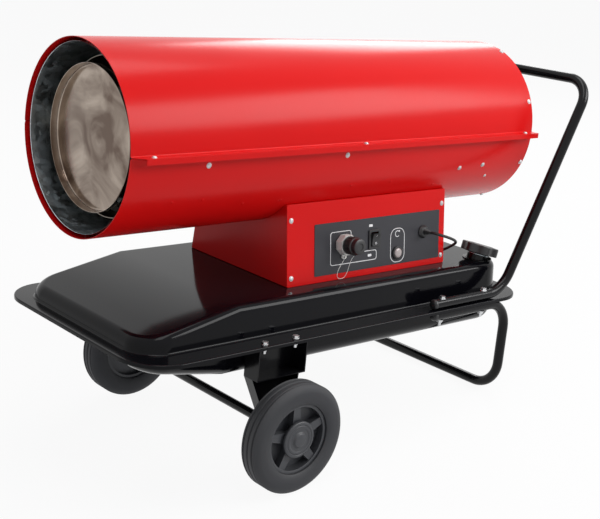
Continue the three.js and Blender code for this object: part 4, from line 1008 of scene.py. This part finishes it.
rocker = draw("rocker_key", [Vector((-0.0115, y, z)) for y, z in (
    (-0.0150, 0.0080), (-0.0146, 0.0010), (-0.0070, -0.0090), (0.0070, -0.0090), (0.0146, 0.0010),
    (0.0150, 0.0080), (0.0080, 0.0060), (0, 0.0054), (-0.0080, 0.0060))], close=True)
select_all()
extrude(0.023, 0, 0)
select_all()
bpy.ops.mesh.normals_make_consistent(inside=False)
rocker_place = switch_place @ moved(0, 0, fitted + 0.001) @ turned_by(math.radians(10), "X")
finish(rocker, "rocker", rocker_place, black_plastic, ["switch_rocker"], edge=0.0008)

key_slope = math.atan2(0.0020, 0.0070)
on_place = (0, 0.0100, 0.0066)
on_mark = box("on_mark", on_place, (0.0009, 0.0050, 0.0004))
bpy.ops.transform.rotate(value=-key_slope, orient_axis="X", center_override=on_place)
leave_edit()
off_mark = spun("off_mark", [(0.0020, 0.0064), (0.0028, 0.0064), (0.0028, 0.0068), (0.0020, 0.0068),
                             (0.0020, 0.0064)], "Z", steps=24)
off_mark.data.transform(moved(0, -0.0100, 0.0002) @ turned_by(-key_slope, "X"))
finish(join([on_mark, off_mark], "switch_marks"), "rocker", rocker_place, print_white)

# %% [markdown]
# The reset button sits under a clear cap in a round frame, and the cord leaves through a gland whose nose
# tapers down to the cord, so that the cord can't be bent sharply where it comes out. All are spun.

# %% Reset button and cord gland
reset_place = panel @ moved(*reset_at, 0)
finish(spun("reset_frame", [(0.0124, -0.010), (0.0124, fitted + 0.0036), (0.0128, fitted + 0.0040),
                            (0.0146, fitted + 0.0040), (0.0156, fitted + 0.0034), (0.0160, fitted + 0.0026),
                            (0.0160, fitted), (0.0140, fitted), (0.0140, -0.010), (0.0124, -0.010)], "Z"),
       "chassis", reset_place, black_plastic, ["reset_bezel"])
finish(spun("reset_cap", [(0, -0.006), (0.0119, -0.006), (0.0119, fitted + 0.0040), (0.0112, fitted + 0.0052),
                          (0.0095, fitted + 0.0064), (0.0060, fitted + 0.0072), (0, fitted + 0.0075)], "Z"),
       "button", reset_place, button_red, ["reset_button"])

gland_profile = [(0, -0.010), (0.0140, -0.010), (0.0140, -0.002), (0.0100, -0.002), (0.0100, fitted),
                 (0.0160, fitted), (0.0160, fitted + 0.0022), (0.0150, fitted + 0.0034),
                 (0.0120, fitted + 0.0070), (0.0072, fitted + 0.0080)]
for step in range(6):
    out = fitted + 0.0092 + step * 0.0028
    wide = 0.0070 - step * 0.00048
    gland_profile += [(wide, out), (wide, out + 0.0014), (wide - 0.0008, out + 0.0017),
                      (wide - 0.0008, out + 0.0025)]
gland_profile += [(cord_radius + 0.0006, fitted + 0.0256), (cord_radius, fitted + 0.026), (0, fitted + 0.026)]
finish(spun("cord_gland", gland_profile, "Z", steps=48), "chassis",
       panel @ moved(*gland_at, 0), black_plastic, ["cable_gland"])

# %% [markdown]
# A clear string hangs from the lug and goes round the cap. It is a thin tube on a drawn curve.

# %% String of the cap
string_points = [(0.1700, 0.0510, 0.0072), (0.1630, 0.0430, 0.0085), (0.1510, 0.0310, 0.0100),
                 (0.1430, 0.0190, 0.0110), (0.1430, 0.0090, 0.0105), (0.1510, 0.0040, 0.0100),
                 (0.1640, 0.0060, 0.0105), (0.1730, 0.0170, 0.0110), (0.1790, 0.0320, 0.0120),
                 (0.1850, 0.0480, 0.0150), (0.1920, 0.0640, 0.0240), (0.1900, 0.0740, 0.0300)]
cap_string = smooth_curve("cap_string", string_points, 0.0006, 3, 12)
bpy.ops.object.select_all(action="DESELECT")
cap_string.select_set(True)
bpy.context.view_layer.objects.active = cap_string
bpy.ops.object.convert(target="MESH")
finish(bpy.context.object, "chassis", panel, white_plastic)

# %% [markdown]
# ## Handle and leg
# Both are one length of 25 mm tube, bent four times. Each is a drawn line whose corners are bevelled to
# the bending radius before it gets its round section.

# %% Handle and leg
tube_radius, tube_side = 0.0125, 0.280
handle_front, handle_bend, handle_bar = 0.457, 0.703, 0.9517
leg_front, leg_bend = 0.462, 0.731
handle_level, bar_level, leg_level, leg_foot = 0.2228, 0.747, 0.1937, -0.044


def both_sides(points):
    """Points (x, height) along the near side, and back along the far side."""
    near = [(x, -tube_side, z) for x, z in points]
    return near + [(x, -y, z) for x, y, z in near[::-1]]


def at_x(wanted):
    return lambda v: abs(v.co.x - wanted) < 1e-5


rear_turn = math.atan2(bar_level - handle_level, handle_bar - handle_bend)
handle = bent_tube("handle_tube", both_sides([(handle_front, handle_level), (handle_bend, handle_level),
                                              (handle_bar, bar_level)]),
                   [(at_x(handle_bend), 0.080, rear_turn), (at_x(handle_bar), 0.065, math.pi / 2)],
                   tube_radius)
finish(handle, "chassis", chassis, tube_paint, ["handle"], smooth=60)
leg = bent_tube("leg_tube", both_sides([(leg_front, leg_level), (leg_bend, leg_level),
                                        (leg_bend, leg_foot)]),
                [(at_x(leg_bend), 0.070, math.pi / 2)], tube_radius)
finish(leg, "chassis", chassis, tube_paint, ["rear_leg"], smooth=60)

# %% [markdown]
# Plastic plugs close the cut ends of both tubes. One is spun, and copied to the four ends.

# %% End plugs of the tubes
plug = spun("tube_plug", [(0, -0.0090), (0.0060, -0.0088), (0.0095, -0.0080), (0.0115, -0.0062),
                          (tube_radius, -0.0040), (tube_radius, -0.0003), (0.0100, -0.0003),
                          (0.0100, 0.0020), (0, 0.0020)], "X", steps=40)
for word, side in (("near", -1), ("far", 1)):
    for tube_name, front, level in (("handle", handle_front, handle_level), ("leg", leg_front, leg_level)):
        twin = copy_to(plug, moved(front, side * tube_side, level))
        twin.name = f"{tube_name}_plug_{word}"
        finish(twin, "chassis", chassis, black_plastic, [f"{tube_name}_end_plug_{word}"])
bpy.data.objects.remove(plug, do_unlink=True)

# %% [markdown]
# ## Wheels
# A wheel is a tyre of solid rubber with three grooves, a plastic hub with five wide spokes and a cap. All are
# made for the far side and turned half round for the near side. The tyre and the cap are spun. The hub is a
# spun band, web and barrel with five copies of one tapered spoke.

# %% Tyre, hub and cap
tread = []
for groove in (-0.014, 0, 0.014):
    tread += [(0.1250, groove - 0.0028), (0.1244, groove - 0.0022), (0.1214, groove - 0.0005),
              (0.1210, groove), (0.1214, groove + 0.0005), (0.1244, groove + 0.0022),
              (0.1250, groove + 0.0028)]
shoulder = [(0.0800, 0.0230), (0.0830, 0.0256), (0.0900, 0.0280), (0.0980, 0.0290), (0.1080, 0.0286),
            (0.1120, 0.0276), (0.1170, 0.0258), (0.1215, 0.0224), (0.1240, 0.0196), (0.1250, 0.0180)]
tyre = spun("tyre", [(radius, -across) for radius, across in shoulder] + tread + shoulder[::-1]
            + [(0.0800, -0.0230)], "Y", steps=128)

hub_rim = 0.0794
hub = spun("hub", [
    (0.0724, -0.0190), (hub_rim, -0.0190), (hub_rim, 0.0190), (0.0745, 0.0190), (0.0730, 0.0180),
    (0.0724, -0.0020), (0.0240, -0.0020), (0.0240, 0.0180), (0.0116, 0.0180), (0.0116, -0.0290),
    (0.0240, -0.0290), (0.0240, -0.0060), (0.0724, -0.0060), (0.0724, -0.0190)], "Y", steps=96)
spokes = []
for step in range(5):
    spoke = draw("spoke", [Vector((x, -0.003, z)) for x, z in ((-0.013, 0.020), (0.013, 0.020),
                                                              (0.009, 0.0735), (-0.009, 0.0735))],
                 close=True)
    select_all()
    extrude(0, 0.018, 0)
    pick(spoke, "VERT", lambda v: v.co.z > 0.06 and v.co.y > 0)
    bpy.ops.transform.translate(value=(0, 0.0015, 0))
    select_all()
    bpy.ops.mesh.normals_make_consistent(inside=False)
    pick(spoke, "FACE", lambda f: f.normal.y > 0.9)
    bpy.ops.mesh.inset(thickness=0.0035, depth=0)
    bpy.ops.transform.translate(value=(0, -0.0012, 0))
    leave_edit()
    modify(spoke, "BEVEL", width=0.0012, segments=2, limit_method="ANGLE", angle_limit=math.radians(30))
    spoke.data.transform(turned_by(step / 5 * 2 * math.pi, "Y"))
    spokes.append(spoke)
hub = join([hub, *spokes], "hub")

hub_cap = spun("hub_cap", [
    (0, 0.0205), (0.0200, 0.0205), (0.0200, 0.0185), (0.0420, 0.0185), (0.0420, 0.0222), (0.0412, 0.0238),
    (0.0395, 0.0248), (0.0375, 0.0254), (0.0355, 0.0254), (0.0345, 0.0244), (0.0330, 0.0244),
    (0.0320, 0.0254), (0.0290, 0.0255), (0.0275, 0.0252), (0.0262, 0.0241), (0.0245, 0.0239),
    (0.0190, 0.0240), (0.0178, 0.0246), (0.0165, 0.0262), (0.0150, 0.0280), (0.0130, 0.0289),
    (0.0060, 0.0290), (0, 0.0290)], "Y", steps=72)

for word, place in (("near", near_wheel), ("far", far_wheel)):
    finish(copy_to(tyre, Matrix.Identity(4)), f"wheel_{word}", place, tyre_rubber,
           [f"tyre_{word}"]).name = f"tyre_tread_{word}"
    finish(copy_to(hub, Matrix.Identity(4)), f"wheel_{word}", place, hub_plastic,
           [f"wheel_hub_{word}"]).name = f"hub_spokes_{word}"
    finish(copy_to(hub_cap, Matrix.Identity(4)), f"wheel_{word}", place, hub_plastic,
           [f"hub_cap_{word}"]).name = f"hub_rings_{word}"
for model in (tyre, hub, hub_cap):
    bpy.data.objects.remove(model, do_unlink=True)

# %% [markdown]
# ## Filler cap
# The cap's knob has six finger lobes. It is a short cylinder whose wall is scaled in and out by its angle,
# then a face is inset on top, its rims are bevelled, and a ring groove marks out a disc in the top's middle.

# %% Filler knob
knob_base, knob_height, knob_radius, lobe_depth = 0.0136, 0.022, 0.0475, 0.0035
knob_middle = knob_base + knob_height / 2
knob = cylinder("filler_knob_cap", 96, knob_radius, knob_height, location=(0, 0, knob_middle))
for step in range(9):
    turn = step * 2 * math.pi / 96
    inwards = lobe_depth * (1 - math.cos(6 * turn))
    pick(knob, "VERT", lambda v: abs(math.cos(6 * math.atan2(v.co.y, v.co.x)) - math.cos(6 * turn)) < 1e-3)
    scale = 1 - inwards / knob_radius
    bpy.ops.transform.resize(value=(scale, scale, 1), center_override=(0, 0, knob_middle))
pick(knob, "FACE", lambda f: f.normal.z > 0.9)
bpy.ops.mesh.inset(thickness=0.003, depth=0)
pick(knob, "EDGE", lambda e: e.calc_face_angle(0) > 1.2 and middle(e).z > knob_middle)
bevel(0.0028, 5)
pick(knob, "EDGE", lambda e: e.calc_face_angle(0) > 1.2 and middle(e).z < knob_middle)
bevel(0.0020, 3)
leave_edit()
carve(knob, spun("cut", [(0.0255, knob_base + knob_height + 0.01), (0.0255, knob_base + knob_height - 0.0025),
                         (0.0285, knob_base + knob_height - 0.0025), (0.0285, knob_base + knob_height + 0.01),
                         (0.0255, knob_base + knob_height + 0.01)], "Z", steps=72))
carve(knob, cylinder("cut", 32, 0.0046, 0.030, location=(0, 0, knob_base - 0.001)))
finish(knob, "cap_knob", filler, black_plastic, ["filler_knob"], smooth=30)

# %% [markdown]
# ## Guard at the air intake
# The guard is welded wire: rings about the tube's axis, spokes across them, a boss in the middle and a
# flat band that screws into the casing.

# %% Intake guard
wire, guard_rear = 0.0018, casing_rear - 0.003
guard_plane, band_radius = guard_rear - 0.002, 0.2012
guard = [spun("band", [(band_radius - 0.002, guard_rear - 0.012), (band_radius, guard_rear - 0.012),
                       (band_radius, guard_rear), (band_radius - 0.002, guard_rear),
                       (band_radius - 0.002, guard_rear - 0.012)], "X", steps=96)]
for step in range(8):
    radius = 0.053 + step * 0.017
    section = [(radius + wire * math.cos(a), guard_plane + wire * math.sin(a))
               for a in [math.radians(45 * k) for k in range(8)]]
    guard.append(spun("ring", section + section[:1], "X", steps=72))
boss = spun("boss", [(0, guard_plane - 0.0018), (0.0400, guard_plane - 0.0018),
                     (0.0400, guard_plane + 0.0002),
                     (0.0385, guard_plane + 0.0018), (0.0300, guard_plane + 0.0018),
                     (0.0290, guard_plane + 0.0008), (0, guard_plane + 0.0008)], "X", steps=64)
guard.append(boss)
for step in range(8):
    spoke = cylinder("spoke", 10, wire, band_radius - 0.0395,
                     location=(guard_plane - 0.0022, 0, (band_radius + 0.0375) / 2))
    pick(spoke, "FACE", lambda f: abs(f.normal.z) > 0.9)
    bevel(0.0003, 1)
    leave_edit()
    spoke.data.transform(turned_by(step / 8 * 2 * math.pi, "X"))
    guard.append(spoke)
finish(join(guard, "intake_guard"), "chassis", air, tube_paint, ["intake_grille"])

# %% [markdown]
# ## Screws, bolts and rivets
# Each kind is modelled once at the origin, standing along Z, and copied to its places. The copies of one
# kind are joined, because they are all fixed to the chassis.

# %% One screw, one bolt head and one rivet
def screw_head(radius, height):
    """Round head on a washer, with a crossed recess."""
    head = cylinder("screw", 32, radius, height, location=(0, 0, height / 2 + 0.0006))
    bevel_rim(head, height, height * 0.7, 4)
    for turn in (0, math.pi / 2):
        slot = start(bpy.ops.mesh.primitive_cube_add, "cut", size=1, location=(0, 0, height + 0.0006),
                     rotation=(0, 0, turn))
        leave_edit()
        slot.data.transform(moved(0, 0, height + 0.0006) @ turned_by(turn, "Z")
                            @ Matrix.Diagonal((radius * 1.1, radius * 0.24, height * 0.9, 1))
                            @ turned_by(-turn, "Z") @ moved(0, 0, -height - 0.0006))
        carve(head, slot)
    washer = cylinder("washer", 32, radius * 1.35, 0.0008, location=(0, 0, 0.0004))
    bevel_rim(washer, 0.0006, 0.0003, 2)
    return join([head, washer], "screw")


def hex_head(across, height, washer_radius):
    """Hexagon head with chamfered corners on a flat washer."""
    head = cylinder("hexagon", 6, across / math.sqrt(3), height, location=(0, 0, 0.0015 + height / 2))
    bevel_rim(head, height, 0.0008, 2, sharp=1.2)
    washer = cylinder("washer", 32, washer_radius, 0.0015, location=(0, 0, 0.00075))
    bevel_rim(washer, 0.0012, 0.0003, 1)
    return join([head, washer], "bolt_head")


def place_all(model, name, places, material, stands_for=()):
    """Copies of one model at each of the places, joined to one piece."""
    copies = [copy_to(model, place) for place in places]
    bpy.data.objects.remove(model, do_unlink=True)
    finish(join(copies, name), "chassis", Matrix.Identity(4), material, stands_for)


def on_tube(x, degrees, radius=casing_radius):
    """A place on the casing, turned so that Z points outwards. 0 degrees is level, on the panel side."""
    return air @ moved(x, 0, 0) @ round_tube(math.radians(degrees)) @ moved(0, 0, radius)


def on_panel(x, y):
    return panel @ moved(x, y, 0)


# %% [markdown]
# Zinc screws hold the lips, the rear rim and the panel. A place is a turn about the tube's axis, so a row
# of screws is a list of distances and angles.

# %% Screws of casing, rims and panel
both = [(x, degrees) for x, degrees in ((-0.188, -7), (0.194, -7), (0.5935, -23.4), (0.678, -22.4))]
screws = [on_tube(x, degrees) for x, degrees in both] + [on_tube(x, 180 - degrees) for x, degrees in both]
screws += [on_tube(0.828, degrees) for degrees in range(22, 360, 45)]
screws += [air @ moved(x, side * 0.2150, 0.00165) for x in (-0.330, 0.235, 0.796)
           for side in (-1, 1)]
screws += [on_panel(x, y) for x in (0.012, 0.504) for y in (0.0195, 0.149)]
place_all(screw_head(0.0045, 0.0026), "zinc_screws", screws, zinc)
place_all(screw_head(0.0030, 0.0018), "small_screws",
          [on_tube(0.713, degrees) for degrees in (-33, 213)], zinc)

# %% [markdown]
# Long bolts clamp the handle, the flange and the leg between two washers. Short ones hold the brackets of
# the wheels. The threaded ends show below the flange.

# %% Bolts of handle, leg and wheel brackets
upside_down = turned_by(math.pi, "X")
bracket_side, bracket_under = 0.2805, 0.2036


def beside_tank(stations, side, height):
    """Places at both sides of the tank, in the leaning frame."""
    return [chassis @ moved(x, hand * side, height) for x in stations for hand in (-1, 1)]


clamp_x, bracket_x = (0.481, 0.632), (-0.069, 0.017)
upper_seat, lower_seat = handle_level + tube_radius + seat_gap, leg_level - tube_radius - seat_gap
clamp = beside_tank(clamp_x, tube_side, upper_seat - 0.0012)
clamp += [place @ upside_down for place in beside_tank(clamp_x, tube_side, lower_seat + 0.0012)]
nodes = [f"clamp_bolt_{word}_{number}" for word in ("near", "far") for number in (1, 2)]
place_all(hex_head(0.013, 0.0053, 0.0085), "clamp_bolts", clamp, zinc, nodes)
shank = cylinder("shank", 24, 0.0040, 0.014, location=(0, 0, -0.007))
pick(shank, "EDGE", lambda e: middle(e).z < -0.01 and e.calc_face_angle(0) > 1)
bevel(0.0008, 2)
leave_edit()
ends = beside_tank(clamp_x, tube_side, lower_seat)
ends += beside_tank(bracket_x, bracket_side, bracket_under - 0.0001)
place_all(shank, "bolt_ends", ends, zinc)
heads = beside_tank(bracket_x, bracket_side, flange_top)
heads += [place @ upside_down for place in beside_tank(bracket_x, bracket_side, bracket_under)]
place_all(hex_head(0.013, 0.0053, 0.0078), "bracket_bolts", heads, zinc)

# %% [markdown]
# Rivets that were painted with the casing show only as low domes. They hold what is inside the tube.

# %% Painted rivets of the casing
rivet = cylinder("rivet", 24, 0.0034, 0.0016, location=(0, 0, 0.0006))
bevel_rim(rivet, 0.001, 0.0013, 4)
rows = [(x, -30) for x in (-0.253, -0.178, 0.240, 0.368)] + [(x, -37) for x in (-0.061, 0.044, 0.529)]
place_all(rivet, "casing_rivets", [on_tube(x, degrees) for x, degrees in rows]
          + [on_tube(x, 180 - degrees) for x, degrees in rows], red_paint)

# %% [markdown]
# ## Pieces that stay as they are
# Brackets, axle and the parts inside the tube are plain turned or folded shapes that are hardly seen. They
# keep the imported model's shape and get the finish of the metal or plastic that they are made of.

# %% Finishes for the plain pieces
def keep(material, *names):
    for name in names:
        node = frame["nodes"][name]
        node.data.materials.clear()
        node.data.materials.append(material)


keep(tube_paint, "wheel_bracket_near", "wheel_bracket_far", "filler_neck", "axle")
keep(zinc, "drain_plug", "motor_shaft")
keep(black_plastic, "wheel_spacer_near", "wheel_spacer_far", "mains_plug", "burner_control_unit")
keep(cast_alloy, "fan_motor", "fuel_pump", "fan", "ignition_transformer")
keep(galvanised, "motor_bracket", "burner_support", "burner_head", "fuel_strainer")
keep(copper, "suction_pipe", "pressure_pipe")
keep(soft_rubber, "filler_plug")

# %% [markdown]
# ## Floor and light
# The heater stands on a pale floor that keeps its shadow. To the camera the floor is lightened towards
# white, and so is the world round it, without putting more light on the heater. Paint and metal mirror that
# same white.

# %% Floor
def background_rays(tree):
    """1 for a ray that shows the background: seen straight, in a mirror or through glass."""
    rays = add_node(tree, "LightPath").outputs
    shows = rays["Is Camera Ray"]
    for ray in ("Is Glossy Ray", "Is Transmission Ray"):
        either = add_node(tree, "Math", operation="MAXIMUM")
        tree.links.new(shows, either.inputs[0])
        tree.links.new(rays[ray], either.inputs[1])
        shows = either.outputs["Value"]
    return shows


floor = start(bpy.ops.mesh.primitive_plane_add, "floor", size=40)
leave_edit()
whitened = 0.93
paper = bpy.data.materials.new("floor_paper")
paper.use_nodes = True
tree = paper.node_tree
nodes, link = tree.nodes, tree.links.new
shader = nodes["Principled BSDF"]
shader.inputs["Base Color"].default_value = (0.80, 0.80, 0.80, 1)
shader.inputs["Roughness"].default_value = 0.9
shader.inputs["Specular IOR Level"].default_value = 0.0
glow = add_node(tree, "Emission", color=(1, 1, 1, 1))
share = add_node(tree, "Math", operation="MULTIPLY")
share.inputs[1].default_value = whitened
mix = add_node(tree, "MixShader")
link(background_rays(tree), share.inputs[0])
link(share.outputs["Value"], mix.inputs["Fac"])
link(shader.outputs["BSDF"], mix.inputs[1])
link(glow.outputs["Emission"], mix.inputs[2])
link(mix.outputs["Shader"], nodes["Material Output"].inputs["Surface"])
floor.data.materials.append(paper)

# %% [markdown]
# The world is a soft cool light all round. Where it is seen or mirrored it is plain white.

# %% World
world = bpy.data.worlds.new("studio")
bpy.context.scene.world = world
world.use_nodes = True
tree = world.node_tree
nodes, link = tree.nodes, tree.links.new
soft = nodes["Background"]
soft.inputs["Color"].default_value = (0.90, 0.93, 1.0, 1)
soft.inputs["Strength"].default_value = 0.34
white = add_node(tree, "Background", color=(1, 1, 1, 1))
mix = add_node(tree, "MixShader")
link(background_rays(tree), mix.inputs["Fac"])
link(soft.outputs["Background"], mix.inputs[1])
link(white.outputs["Background"], mix.inputs[2])
link(mix.outputs["Shader"], nodes["World Output"].inputs["Surface"])


# %% [markdown]
# The sun of the photograph stood on the right: it lights the panel and leaves the box's front in shade. A
# lamp on that side does this, one above softens it, and a weak one behind keeps the back from going dark.
# Each is turned from its place towards its target.

# %% Lamps
def lamp(name, place, target, size, power):
    bpy.ops.object.select_all(action="DESELECT")
    bpy.ops.object.light_add(type="AREA", location=place)
    light = bpy.context.object
    light.name = name
    light.data.shape = "RECTANGLE"
    light.data.size, light.data.size_y = size
    light.data.energy = power
    light.rotation_euler = (Vector(target) - Vector(place)).to_track_quat("-Z", "Y").to_euler()


lamp("side_light", (2.6, -2.9, 2.5), (0, 0, 0.4), (2.8, 1.8), 120)
lamp("top_light", (0.3, -0.4, 3.6), (0, 0, 0.5), (3.4, 1.2), 48)
lamp("rear_light", (3.0, 2.4, 2.2), (0, 0, 0.5), (1.6, 1.6), 40)
